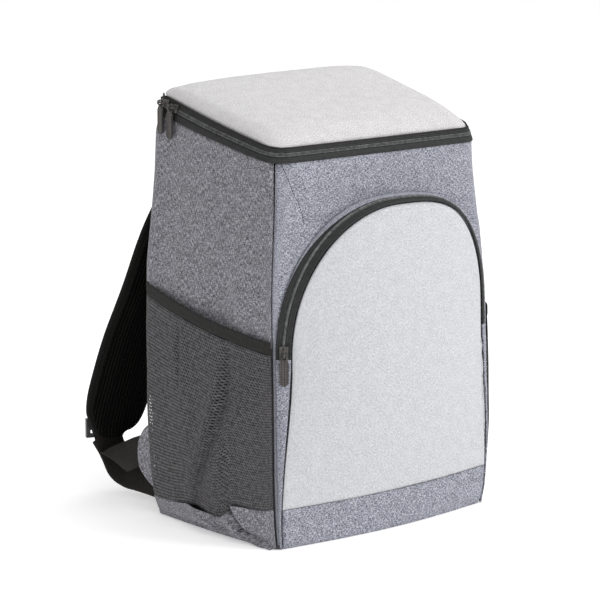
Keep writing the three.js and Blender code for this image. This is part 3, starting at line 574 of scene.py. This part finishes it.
def build_body():
    below_band = lambda along: rim_height(along) - band_height(along) - GAP
    below_lid = lambda along: rim_height(along) - LID_WALL - GAP
    build_wall("front_panel", 0, below_band, GREY_FRONT)
    build_wall("side_panel_right", 1, below_band, GREY_SIDE_SHADED)
    build_wall("back_panel", 2, below_lid, BACK_MESH)
    build_wall("side_panel_left", 3, below_band, GREY_SIDE_SHADED)


# Lid and its zipper

def lid_band(along, share, out):
    z = rim_height(along) - band_height(along) * (1 - share)
    return wall(along, z, LID_INSET * share - out)


def teeth(length, pitch, depth):
    return depth * abs(math.sin(math.pi * length / pitch)) ** 0.6


def build_lid_band():
    places = round_places([-1, 0, 1], 330)
    lengths, last, total = {}, None, 0.0
    for along in places:
        point = lid_band(along, 0.5, 0)
        total += (point - last).length if last else 0.0
        lengths[along] = total
        last = point

    def lower(along, share):
        across = share / COIL_LOW
        return lid_band(along, share, TAPE_RISE + 0.5 * math.sin(math.pi * across) ** 0.5)

    def coil(along, share):
        across = (share - COIL_LOW) / (COIL_HIGH - COIL_LOW)
        ridge = math.sqrt(abs(math.sin(3 * math.pi * across)))
        gap = teeth(lengths[along] + 0.8 * (across > 0.5), TOOTH_PITCH, 0.45)
        return lid_band(along, share, 0.1 + 1.7 * ridge - gap)

    def upper(along, share):
        across = (share - COIL_HIGH) / (1 - COIL_HIGH)
        ridge = abs(math.sin(2 * math.pi * across))
        return lid_band(along, share, TAPE_RISE - 0.2 + 0.8 * ridge)

    slit = 2 * GAP / (LID_BAND_FRONT + LID_BAND_BACK)
    uv = lambda along, share: (share * 16, lengths[along])
    parts = (("lid_tape_lower", lower, 0.0, COIL_LOW - slit, 8, TAPE),
             ("lid_coil", coil, COIL_LOW, COIL_HIGH, 18, COIL),
             ("lid_tape_upper", upper, COIL_HIGH + slit, 0.98, 10, TAPE))
    for name, shape, low, high, count, material in parts:
        sheet_piece(name + "_woven", places, steps(count, low, high), shape, uv, material, CLOTH,
                    name)
    tube("lid_piping", [lid_band(a, 1.0, 0.0) for a in places[8:-8:4]], 1.3, BINDING)


def tube(name, route, radius, material):
    """Round cord along a route, in millimetres"""
    curve = bpy.data.curves.new(name, "CURVE")
    curve.dimensions = "3D"
    spline = curve.splines.new("POLY")
    spline.points.add(len(route) - 1)
    for point, place in zip(spline.points, route):
        point.co = (*(place / 1000), 1)
    curve.bevel_depth = radius / 1000
    curve.bevel_resolution = 2
    curve.use_fill_caps = True
    made = link(bpy.data.objects.new(name, curve))
    mesh = bpy.data.meshes.new_from_object(made)
    bpy.data.objects.remove(made)
    mesh.materials.clear()
    mesh.materials.append(material)
    mesh.polygons.foreach_set("use_smooth", [True] * len(mesh.polygons))
    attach(link(bpy.data.objects.new(name, mesh)), BODY)


def lid_point(across, deep):
    inset = LID_INSET + CLOTH - TAPE_RISE + GAP
    edge = lambda along: wall(along, rim_height(along), inset)
    front, back, right, left = edge(across), edge(3 - across), edge(1 + deep), edge(4 - deep)
    point = front * (1 - deep) + back * deep + left * (1 - across) + right * across
    point -= (edge(0) * (1 - across) * (1 - deep) + edge(1) * across * (1 - deep)
              + edge(2) * across * deep + edge(3) * (1 - across) * deep)
    bow = lambda share: 1 - abs(2 * share - 1) ** 5
    point.z += LID_DOME * bow(across) * bow(deep)
    near = min(min(across, 1 - across) * (ACROSS - 10), min(deep, 1 - deep) * (DEEP - 10))
    roll = 1.2 * math.exp(-near / 2.0)
    pucker = 0.9 * hum((point.x, point.y, 0), 11, 3.0) * math.exp(-near / 16)
    point.z += 0.9 * hum(point, 60, 5.0) - roll + pucker
    return point


def build_lid():
    sheet_piece("lid_panel_cloth", side_shares(90), side_shares(60), lid_point,
                lambda across, deep: (across * ACROSS, deep * DEEP), LID_CLOTH_LIT, LID_WALL - 1,
                "lid_panel")


# Front pocket

def pocket_half(z):
    return section(z).half - POCKET_EDGE - POCKET_INSET * smooth(z, 0, POCKET_SPRING * 1.2)


def arch_power(x):
    return ARCH_LEFT if x < 0 else ARCH_RIGHT


def pocket_out(x, z):
    half = pocket_half(POCKET_SPRING)
    middle = 1 - min(abs(x - section(z).lean) / half, 1) ** 2.4
    rise = smooth(z, 0, POCKET_SPRING)
    edge = lerp(POCKET_FOOT_DEPTH, POCKET_SIDE_DEPTH, rise)
    return edge + (POCKET_TOP_DEPTH - POCKET_SIDE_DEPTH) * middle * rise


def pocket_point(x, z, inset=0.0):
    return Vector((x, front_y(x, z) - pocket_out(x, z) - CLOTH + inset, z))


def arch_edge(share, inner):
    angle = math.pi * (1 - share)
    reach = math.cos(angle)
    half = pocket_half(POCKET_SPRING) if inner else section(POCKET_SPRING).half - POCKET_EDGE
    top = POCKET_TOP - POCKET_SPRING - (POCKET_TOP_INSET if inner else 0)
    power = arch_power(reach)
    z = POCKET_SPRING + top * abs(math.sin(angle)) ** (2 / power)
    x = math.copysign(half * abs(reach) ** (2 / power), reach) + section(z).lean
    return pocket_point(x, z) if inner else Vector((x, front_y(x, z) - CLOTH - GAP, z))


def forward_normal(way, outer, inner):
    normal = way.cross(inner - outer).normalized()
    return -normal if normal.y > 0 else normal


def arch_frame(share):
    outer, inner = arch_edge(share, False), arch_edge(share, True)
    before, after = arch_edge(max(share - 0.02, 0), False), arch_edge(min(share + 0.02, 1), False)
    return outer, inner, forward_normal(after - before, outer, inner)


POCKET_NEST = CLOTH + 2 * GAP


def build_pocket_cloth():
    half = pocket_half(POCKET_SPRING) - POCKET_NEST
    rise = POCKET_TOP - POCKET_TOP_INSET - POCKET_NEST - POCKET_SPRING

    def place(up, share):
        power = arch_power(share)
        top = POCKET_SPRING + rise * (1 - abs(share) ** power) ** (1 / power)
        z = lerp(POCKET_SEAM + GAP, top, up)
        below = pocket_half(min(z, POCKET_SPRING)) - POCKET_NEST
        x = share * lerp(below, half, up ** 2) + section(z).lean
        near = min((1 - abs(share)) * half, min(1 - up, up) * (top - POCKET_SEAM))
        point = pocket_point(x, z)
        inset = 1.3 * math.exp(-near / 2.0) - 0.5 * hum(point, 55, 7.0) - 0.3 * hum(point, 18, 8.0)
        point.y += inset
        return point

    shares = [math.sin(s * math.pi / 2) for s in steps(110, -1, 1)]
    sheet_piece("pocket_panel_cloth", steps(110), shares, place,
                lambda up, share: (share * half, up * 290), LIGHT, POCKET_CLOTH - 0.4,
                "pocket_panel")

    def band(rise_share, share):
        z = lerp(BAND_FOOT, POCKET_SEAM, rise_share)
        near = min((1 - abs(share)) * half, (1 - rise_share) * 40)
        point = pocket_point(share * (pocket_half(z) - POCKET_NEST) + section(z).lean, z)
        tucked = 2.5 * (1 - smooth(z, 0, 9))
        point.y += 1.0 * math.exp(-near / 1.6) + tucked - 0.3 * hum(point, 20, 9.0)
        return point

    sheet_piece("pocket_band_cloth", steps(24), steps(100, -1, 1), band,
                lambda r, share: (share * half, r * POCKET_SEAM), GREY_FRONT, POCKET_CLOTH - 0.4,
                "pocket_base_band")

    for name, sign in HANDS:
        def gusset(rise_share, share, sign=sign):
            z = lerp(BAND_FOOT, POCKET_SPRING - GAP, rise_share)
            s = section(z)
            x = sign * (s.half - POCKET_EDGE) + s.lean
            outer = Vector((x, front_y(x, z) - GAP - CLOTH, z))
            inner = pocket_point(sign * pocket_half(z) + s.lean, z)
            normal = forward_normal(Vector((0, 0, 1)), outer, inner)
            bow = 1.2 * math.sin(math.pi * share) + 0.5 * hum((sign * 3, z, share * 9), 16, 2.0)
            return outer.lerp(inner, share) + normal * bow

        sheet_piece(f"pocket_gusset_{name}_cloth", steps(90), steps(10), gusset,
                    lambda r, share: (share * 14, r * 187), GREY_FRONT, CLOTH - 0.2,
                    f"pocket_gusset_{name}", inside=(0, 60, 100))


def build_pocket_zip():
    shares = steps(460)
    frames = {share: arch_frame(share) for share in shares}
    lengths, total, last = {}, 0.0, None
    for share in shares:
        middle = frames[share][0].lerp(frames[share][1], 0.5)
        total += (middle - last).length if last else 0.0
        lengths[share] = total
        last = middle

    def strip(out_at):
        def point(share, across):
            outer, inner, normal = frames[share]
            return outer.lerp(inner, across) + normal * out_at(share, across)
        return point

    slit = GAP / POCKET_INSET
    low_edge, high_edge = POCKET_COIL_LOW - slit, POCKET_COIL_HIGH + slit
    outer = strip(lambda s, a: 0.5 * math.sin(math.pi * a / POCKET_COIL_LOW) ** 0.5)
    coil = strip(lambda s, a: 0.2 + 1.2 * abs(math.sin(math.pi * (a - 0.4) / 0.2)) ** 0.5
                 - teeth(lengths[s], TOOTH_PITCH, 0.5))
    inner = strip(lambda s, a: 0.3 + 0.5 * abs(math.sin(2 * math.pi * (a - 0.6) / 0.4))
                  - 0.2 * teeth(lengths[s], TOOTH_PITCH, 1.0))
    uv = lambda share, across: (across * POCKET_INSET, lengths[share])
    # The front's cloth laps over the outer tape towards the top
    edge_at = lambda share: 0.001 + 0.37 * smooth(share, 0.1, 0.42)
    wide = [share for share in shares if edge_at(share) > 0.04]
    behind = (0, 60, 150)
    sheet_piece("pocket_edge_cloth", wide, steps(4),
                lambda s, a: outer(s, lerp(0.001, edge_at(s) - slit, a)),
                uv, GREY_FRONT, CLOTH - 0.4, None, inside=behind)
    taper = lambda s, a: outer(s, lerp(edge_at(s), low_edge, (a - 0.001) / (low_edge - 0.001)))
    for name, shape, low, high, count, material in (
            ("pocket_tape_outer", taper, 0.001, low_edge, 6, TAPE),
            ("pocket_coil", coil, POCKET_COIL_LOW, POCKET_COIL_HIGH, 6, COIL),
            ("pocket_tape_inner", inner, high_edge, 0.999, 8, TAPE)):
        sheet_piece(name + "_woven", shares, steps(count, low, high), shape, uv, material,
                    CLOTH - 0.2, name, inside=behind)


# Net side pockets

def side_along(sign, deep):
    return 4 - deep if sign < 0 else 1 + deep


def net_out(deep, rise):
    crease = sum(drop * bell(deep, at, reach) for at, reach, drop in CREASES)
    bow = math.sin(math.pi * deep) ** 0.7 * (0.45 + 0.55 * math.sin(math.pi * rise) ** 0.8)
    return GAP + BINDING_CLOTH + NET_BULGE * bow * (1 - crease * math.sin(math.pi * rise))


def net_top(deep):
    return lerp(NET_FRONT, NET_BACK, deep ** 1.4)


def band_top(deep):
    return POCKET_SEAM * table(BANDS, 1, deep)


# Folds of the nets: rise from the foot, place from the front
LONG_CREASE = [(0.0, 0.56), (0.2, 0.5), (0.4, 0.42), (0.65, 0.335), (1.0, 0.3)]
SHORT_CREASE = [(0.0, 0.62), (0.6, 0.645), (1.0, 0.655)]
CHEVRON = [(0.0, 0.45), (0.3, 0.36), (0.6, 0.24), (1.0, 0.1)]


def net_folds(deep, rise):
    """How far folds draw the net in. Ridges count as less than nothing."""
    held = math.sin(math.pi * clamp(rise, 0.03, 0.97)) ** 0.6
    long = deep - table(LONG_CREASE, 1, rise)
    short = deep - table(SHORT_CREASE, 1, rise)
    total = 6.5 * math.exp(-(long / 0.018) ** 2) - 4.0 * math.exp(-((long - 0.05) / 0.035) ** 2)
    upper = 5.0 * math.exp(-(short / 0.015) ** 2) - 2.4 * math.exp(-((short + 0.04) / 0.03) ** 2)
    total += upper * smooth(rise, 0.5, 0.85)
    total -= 3.2 * math.exp(-((deep - table(CHEVRON, 1, rise)) / 0.03) ** 2)
    total += 1.2 * bell(deep, 0.84, 0.05) - 0.8 * hum((deep * DEEP, rise * 90, 5), 26, 2.0)
    return total * held


def net_place(sign, deep, rise):
    low, high = band_top(deep) + GAP, net_top(deep) - BINDING_WIDTH - GAP
    z = lerp(low, high, rise)
    out = net_out(deep, rise) - net_folds(deep, rise)
    return wall(side_along(sign, deep), z, -max(out, GAP + NET_CLOTH))


def build_net(name, sign):
    """Net of slanting cords with an opening in each cell"""
    points, faces, places = [], [], []

    def share_at(i, j):
        return clamp((i + NET_SLANT * j) / NET_WIDE)

    def spot(i, j):
        return net_place(sign, lerp(NET_MARGIN, 1 - NET_MARGIN, share_at(i, j)), j / NET_TALL)

    def vertex(point, u, v):
        points.append(point)
        places.append((u * DEEP, v * 180))
        return len(points) - 1

    low = -math.ceil(NET_SLANT * NET_TALL)
    lattice = {(i, j): spot(i, j) for i in range(low, NET_WIDE + 1) for j in range(NET_TALL + 1)}
    known = {}

    def corner(i, j):
        if (i, j) not in known:
            known[i, j] = vertex(lattice[i, j], share_at(i, j), j / NET_TALL)
        return known[i, j]

    for i in range(low, NET_WIDE):
        for j in range(NET_TALL):
            cell = ((i, j), (i + 1, j), (i + 1, j + 1), (i, j + 1))
            shares = [share_at(*place) for place in cell]
            if max(shares) - min(shares) < 0.6 / NET_WIDE:
                continue
            middle = (lattice[cell[0]] + lattice[cell[2]]) / 2
            a, b, c, d = (corner(*place) for place in cell)
            ring = []
            for one, other in zip(cell, cell[1:] + cell[:1]):
                edge = (lattice[one] + lattice[other]) / 2
                u, v = (share_at(*one) + share_at(*other)) / 2, (one[1] + other[1]) / 2 / NET_TALL
                ring.append(vertex(edge.lerp(middle, NET_CORD_SHARE), u, v))
            p, q, r, s = ring
            faces += [(a, b, p), (b, c, q), (c, d, r), (d, a, s),
                      (a, p, s), (b, q, p), (c, r, q), (d, s, r)]
    piece = add_object(f"net_{name}_cords", points, faces, NET, places,
                       replaces=(f"net_{name}",))
    face_out(piece, (0, 0, 120))
    thicken(piece, NET_CORD)


def build_binding(name, sign):
    def place(deep, share):
        z = lerp(net_top(deep) - BINDING_WIDTH, net_top(deep), share)
        edge = 1 - abs(2 * share - 1) ** 8
        groove = 0.5 * bell(share, 0.14, 0.04)
        pucker = 0.35 * hum((deep * DEEP, z, sign * 30), 9, 4.0) * bell(share, 0.2, 0.3)
        out = net_out(deep, 1) + 0.9 * edge - 0.4 + pucker - groove
        return wall(side_along(sign, deep), z, -out)

    sheet_piece(f"net_binding_{name}_tape", steps(200, 0.01, 0.99), steps(18), place,
                lambda deep, share: (share * BINDING_WIDTH, deep * 200), BINDING,
                BINDING_CLOTH - 0.3, f"net_binding_{name}")


def band_crease(deep, share):
    """Folded cloth under the net: a crevice that runs down to the front, with a ridge behind it"""
    crevice = deep - table(CREVICE, 1, share)
    ridge = deep - table(RIDGE, 1, share)
    cut = 7.0 * math.exp(-(crevice / 0.012) ** 2)
    if crevice > 0:
        lip = 5.0 * math.exp(-(crevice / 0.06) ** 2)
    else:
        lip = -1.2 * math.exp(-(crevice / 0.04) ** 2)
    crest = 4.2 * math.exp(-(ridge / 0.05) ** 2)
    hem = 4.0 * smooth(deep, 0.5, 0.62) * (1 - smooth(share, 0.18, 0.3))
    tuck = 1.6 * bell(deep, 0.78, 0.05) * share
    return lip + crest - cut - hem - tuck


def build_band(name, sign):
    def place(deep, share):
        folded = NET_BULGE * table(BANDS, 2, deep) * math.sin(math.pi * share * 0.8)
        out = lerp(GAP + CLOTH, net_out(deep, 0), share) + max(folded, 0) + band_crease(deep, share)
        out += 0.4 * hum((deep * DEEP, share * POCKET_SEAM, sign * 50), 17, 6.0)
        z = lerp(BAND_FOOT, band_top(deep), share)
        return wall(side_along(sign, deep), z, -max(out, GAP + CLOTH))

    sheet_piece(f"side_band_{name}_cloth", steps(240, 0.01, 0.99), steps(36), place,
                lambda deep, share: (deep * DEEP, share * POCKET_SEAM), GREY_SIDE_SHADED, CLOTH - 0.2,
                f"side_band_{name}")


def build_side_pockets():
    for name, sign in HANDS:
        build_net(name, sign)
        build_binding(name, sign)
        build_band(name, sign)


# Straps

def catmull(points, t):
    """Centripetal curve through points, at a share of its points"""
    last = len(points) - 1
    where = last * t
    i = min(int(where), last - 1)
    weight = where - i
    p1, p2 = points[i], points[i + 1]
    p0 = points[i - 1] if i > 0 else 2 * points[0] - points[1]
    p3 = points[i + 2] if i + 2 <= last else 2 * points[last] - points[last - 1]
    d0, d1, d2 = [math.sqrt((b - a).length) for a, b in ((p0, p1), (p1, p2), (p2, p3))]
    t1 = ((p1 - p0) / d0 - (p2 - p0) / (d0 + d1) + (p2 - p1) / d1) * d1
    t2 = ((p2 - p1) / d1 - (p3 - p1) / (d1 + d2) + (p3 - p2) / d2) * d1
    c2 = -3 * p1 + 3 * p2 - 2 * t1 - t2
    c3 = 2 * p1 - 2 * p2 + t1 + t2
    return p1 + t1 * weight + c2 * weight ** 2 + c3 * weight ** 3


def strap_frames(route, sign, stations, width_at):
    line = []
    for across, behind, rise, *_ in route:
        z = rise * RIM_BACK_LEFT
        line.append(Vector((sign * across * WIDTH / 2 + section(z).lean, behind * DEPTH / 2, z)))
    last = len(route) - 1
    keyed = [(i / last, *row[3:]) for i, row in enumerate(route)]
    frames, total = [], 0.0
    for share in steps(stations):
        place = catmull(line, share)
        ahead = catmull(line, min(share + 1e-4, 1)) - catmull(line, max(share - 1e-4, 0))
        tangent = ahead.normalized()
        width = width_at(math.radians(table(keyed, 1, share)), sign)
        width = (width - tangent * width.dot(tangent)).normalized()
        normal = tangent.cross(width).normalized()
        total += (place - frames[-1][0]).length if frames else 0.0
        frames.append((place, width, normal, share, total))
    return frames, keyed


def level_width(turn, sign):
    return Vector((math.cos(turn), sign * math.sin(turn), 0))


def upright_width(turn, sign):
    return Vector((math.cos(turn), sign * WEBBING_SLOPE * math.cos(turn), sign * math.sin(turn)))


def loft(name, rings, material, places, node, second=None, second_test=None):
    """Closed solid through rings of points"""
    count = len(rings[0])
    points = [p for ring in rings for p in ring]
    faces = []
    for start in range(0, (len(rings) - 1) * count, count):
        for j in range(count):
            after = (j + 1) % count
            faces.append((start + j, start + after, start + count + after, start + count + j))
    faces.append(tuple(reversed(range(count))))
    faces.append(tuple((len(rings) - 1) * count + j for j in range(count)))
    piece = add_object(name, points, faces, material, places, replaces=(node,))
    mesh = piece.data
    kit = bmesh.new()
    kit.from_mesh(mesh)
    bmesh.ops.recalc_face_normals(kit, faces=kit.faces)
    kit.to_mesh(mesh)
    kit.free()
    if second:
        mesh.materials.append(second)
        for index, polygon in enumerate(mesh.polygons):
            if second_test(index // count, index % count):
                polygon.material_index = 1
    return piece


def build_pad(name, sign):
    frames, keyed = strap_frames(PAD_ROUTE, sign, 200, level_width)
    face = 40
    rings, places = [], []
    for place, width, normal, share, length in frames:
        half = PAD_WIDTH / 2 * table(keyed, 2, share)
        ring = []
        for side in (1, -1):
            for k in range(face):
                across = side * (1 - 2 * k / face)
                edge = abs(across)
                rounding = math.sqrt(max(1 - edge ** 14, 0))
                thick = PAD_THICKNESS / 2 * (1 - 0.62 * edge ** 6) * rounding
                binding = 0.7 * bell(edge, 0.93, 0.05) - 0.9 * bell(edge, 0.85, 0.018)
                rib = 0.35 * math.cos(across * half * 2 * math.pi / 3.6) * (edge < 0.8)
                wave = 0.5 * math.sin(length / 9.0 + 2.0 * across) * bell(edge, 0.9, 0.2)
                out = side * (thick + (binding + rib) * (edge < 0.99) + 0.3 * wave)
                ring.append(place + width * (half * across) + normal * out)
                places.append((half * across, length))
        rings.append(ring)
    edge_faces = lambda i, j: j % face < 3 or j % face >= face - 4
    piece = loft(f"shoulder_pad_{name}_foam", rings, MESH, places, f"shoulder_pad_{name}",
                 PAD_EDGE, edge_faces)


def build_webbing(node, route, sign):
    frames, _ = strap_frames(route, sign, 90, upright_width)
    rings, places = [], []
    for place, width, normal, _, length in frames:
        ring = []
        for side in (1, -1):
            for k in range(12):
                across = side * (1 - 2 * k / 11)
                edge = math.sqrt(max(1 - abs(across) ** 10, 0.03))
                ring.append(place + width * (WEBBING_WIDTH / 2 * across)
                            + normal * (side * WEBBING_CLOTH / 2 * edge))
                places.append((across * WEBBING_WIDTH / 2, length))
        rings.append(ring)
    if route is WEBBING_ROUTE:
        top = rings[-1]
        for lift, back in LOCK_LOOP:
            rings.append([p + Vector((0, back, lift)) for p in top])
            places += [(x, y + lift) for x, y in places[-24:]]
    loft(node + "_woven", rings, WEBBING, places, node)


def build_tab(name, sign):
    seam = 3 if sign < 0 else 2
    rings = []
    outline = []
    for reach, rise in TAB_OUTLINE:
        root = wall(seam, rise * RIM_BACK_LEFT)
        outline.append((root.y + TAB_CLOTH / 2 + 2 * GAP + reach * DEPTH / 2, root.z))
    fine = [catmull([Vector((y, z, 0)) for y, z in outline], t) for t in steps(40)]
    middle = wall(seam, TAB_OUTLINE[3][1] * RIM_BACK_LEFT).x
    centre = Vector((sum(p.x for p in fine) / len(fine), sum(p.y for p in fine) / len(fine), 0))
    places = []
    for side, inset in ((-1, 0.14), (-1, 0.04), (-0.6, 0), (0.6, 0), (1, 0.04), (1, 0.14)):
        ring = []
        for p in fine:
            q = p.lerp(centre, inset)
            ring.append(Vector((middle + side * TAB_CLOTH / 2, q.x, q.y)))
            places.append((q.x, q.y))
        rings.append(ring)
    loft(f"corner_tab_{name}_cloth", rings, GREY_SIDE_SHADED, places, f"corner_tab_{name}")


def bevelled_copy(node, material, size, body=BODY):
    """Copy of a frame's node with its edges broken"""
    source = NODES[node]
    piece = link(bpy.data.objects.new(node + "_moulded", source.data.copy()))
    piece.data.materials.clear()
    piece.data.materials.append(material)
    kit = bmesh.new()
    kit.from_mesh(piece.data)
    bmesh.ops.remove_doubles(kit, verts=kit.verts, dist=1e-6)
    bmesh.ops.dissolve_limit(kit, angle_limit=math.radians(2), verts=kit.verts, edges=kit.edges)
    kit.to_mesh(piece.data)
    kit.free()
    bevel = piece.modifiers.new("edges", "BEVEL")
    bevel.width = size / 1000
    bevel.segments = 3
    bevel.limit_method = "ANGLE"
    bevel.angle_limit = math.radians(35)
    piece.data.polygons.foreach_set("use_smooth", [False] * len(piece.data.polygons))
    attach(piece, body)
    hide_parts(node)
    return piece


def build_straps():
    for name, sign in HANDS:
        build_pad(name, sign)
        build_webbing(f"webbing_{name}", WEBBING_ROUTE, sign)
        build_webbing(f"webbing_tail_{name}", TAIL_ROUTE, sign)
        build_tab(name, sign)
        bevelled_copy(f"ladder_lock_{name}", PLASTIC, 0.7)


def build_hardware():
    for name in ("lid_1", "lid_2", "pocket"):
        bevelled_copy(f"{name}_slider", SLIDER, 0.35)
        bevelled_copy(f"{name}_pull", RUBBER, 0.35, f"{name}_pull_body")


def dress_base():
    base = NODES["base_panel"]
    base.data.materials.clear()
    base.data.materials.append(BASE)


# Stitches

# Corners of one stitch: along, across, up
STITCH_CORNERS = ((0, -1, 0), (0, 1, 0), (1, 1, 0), (1, -1, 0), (0.2, 0, 1), (0.8, 0, 1))


def stitches(name, route, normal, pitch, length, width, rise):
    """Row of short threads along a route, each a small raised bar"""
    points, faces = [], []
    travelled, due = 0.0, 0.0
    for a, b in zip(route, route[1:]):
        way = b - a
        step = way.length
        if step < 1e-6:
            continue
        way = way / step
        side = way.cross(normal).normalized()
        while due <= travelled + step:
            start = a + way * (due - travelled)
            base = len(points)
            for along, across, up in STITCH_CORNERS:
                points.append(start + way * (along * length) + side * (across * width / 2)
                              + normal * (up * rise))
            faces += [(base, base + 1, base + 4), (base + 1, base + 2, base + 5, base + 4),
                      (base + 2, base + 3, base + 5), (base + 3, base, base + 4, base + 5),
                      (base, base + 3, base + 2, base + 1)]
            due += pitch
        travelled += step
    return add_object(name, points, faces, THREAD, [(p.x, p.z) for p in points])


# Line of stitches on the front panel: x, z
FRONT_STITCHES = [
    (-122.5, 380), (-113.7, 360.8), (-107.5, 345.5), (-101.5, 335.1), (-97.7, 322.4), (-96.5, 314)]


def front_point(x, z):
    """Point of the front panel's dressed face at a place seen from the front"""
    low, high = 0.0, 1.0
    for _ in range(30):
        middle = (low + high) / 2
        low, high = (middle, high) if wall(middle, z).x < x else (low, middle)
    return panel_point(0, low, z)


def build_stitches():
    route = [catmull([Vector((x, 0, z)) for x, z in FRONT_STITCHES], t) for t in steps(60)]
    route = [front_point(p.x, p.z) for p in route]
    normal = Vector((-0.2, -1, 0)).normalized()
    stitches("front_stitches", route, normal, pitch=2.6, length=1.6, width=1.1, rise=0.5)


build_body()
build_lid()
build_lid_band()
build_pocket_cloth()
build_pocket_zip()
build_side_pockets()
build_straps()
build_hardware()
dress_base()
build_stitches()


# Stage, light and camera

def build_stage():
    bpy.ops.mesh.primitive_plane_add(size=14, location=(0, 0, 0))
    floor = bpy.context.object
    floor.name = "floor"
    paint = Paint("floor_white", 0.9)
    wander = paint.noise(paint.places((1, 1, 1), "Object"), 3.0)
    paint.colour(paint.mix(wander, (0.96, 0.96, 0.96, 1), (0.98, 0.98, 0.98, 1)))
    paint.shader.inputs["Emission Color"].default_value = (1, 1, 1, 1)
    paint.shader.inputs["Emission Strength"].default_value = 0.3
    floor.data.materials.append(paint.material)
    world = bpy.data.worlds.new("studio")
    bpy.context.scene.world = world
    world.use_nodes = True
    world.node_tree.nodes["Background"].inputs["Color"].default_value = (1, 1, 1, 1)
    world.node_tree.nodes["Background"].inputs["Strength"].default_value = 0.7

    def lamp(name, place, size, power):
        light = bpy.data.lights.new(name, "AREA")
        light.size = size
        light.energy = power
        lamp_object = link(bpy.data.objects.new(name, light))
        lamp_object.location = place
        way = Vector((0, 0, 0.2)) - Vector(place)
        lamp_object.rotation_euler = way.to_track_quat("-Z", "Y").to_euler()

    lamp("key", (1.5, -2.1, 2.0), 1.5, 44)
    lamp("top", (0.1, -0.3, 2.6), 1.8, 18)
    bpy.context.scene.view_settings.view_transform = "Standard"


def build_camera():
    azimuth, elevation, distance, focal = -40.96, 11.16, 2.9598, 2949.4
    shift_right, middle_height = -0.02061, 0.21488
    a, e = math.radians(azimuth), math.radians(elevation)
    back = Vector((math.sin(a) * math.cos(e), -math.cos(a) * math.cos(e), math.sin(e)))
    camera = bpy.data.cameras.new("camera")
    frame_pixels, sensor = 600, 36
    camera.sensor_width = sensor
    camera.lens = focal / frame_pixels * sensor
    camera.clip_end = 50
    eye = link(bpy.data.objects.new("camera", camera))
    target = Vector((shift_right * math.cos(a), shift_right * math.sin(a), middle_height))
    eye.location = target + back * distance
    eye.rotation_euler = back.to_track_quat("Z", "Y").to_euler()
    bpy.context.scene.camera = eye


build_stage()
build_camera()
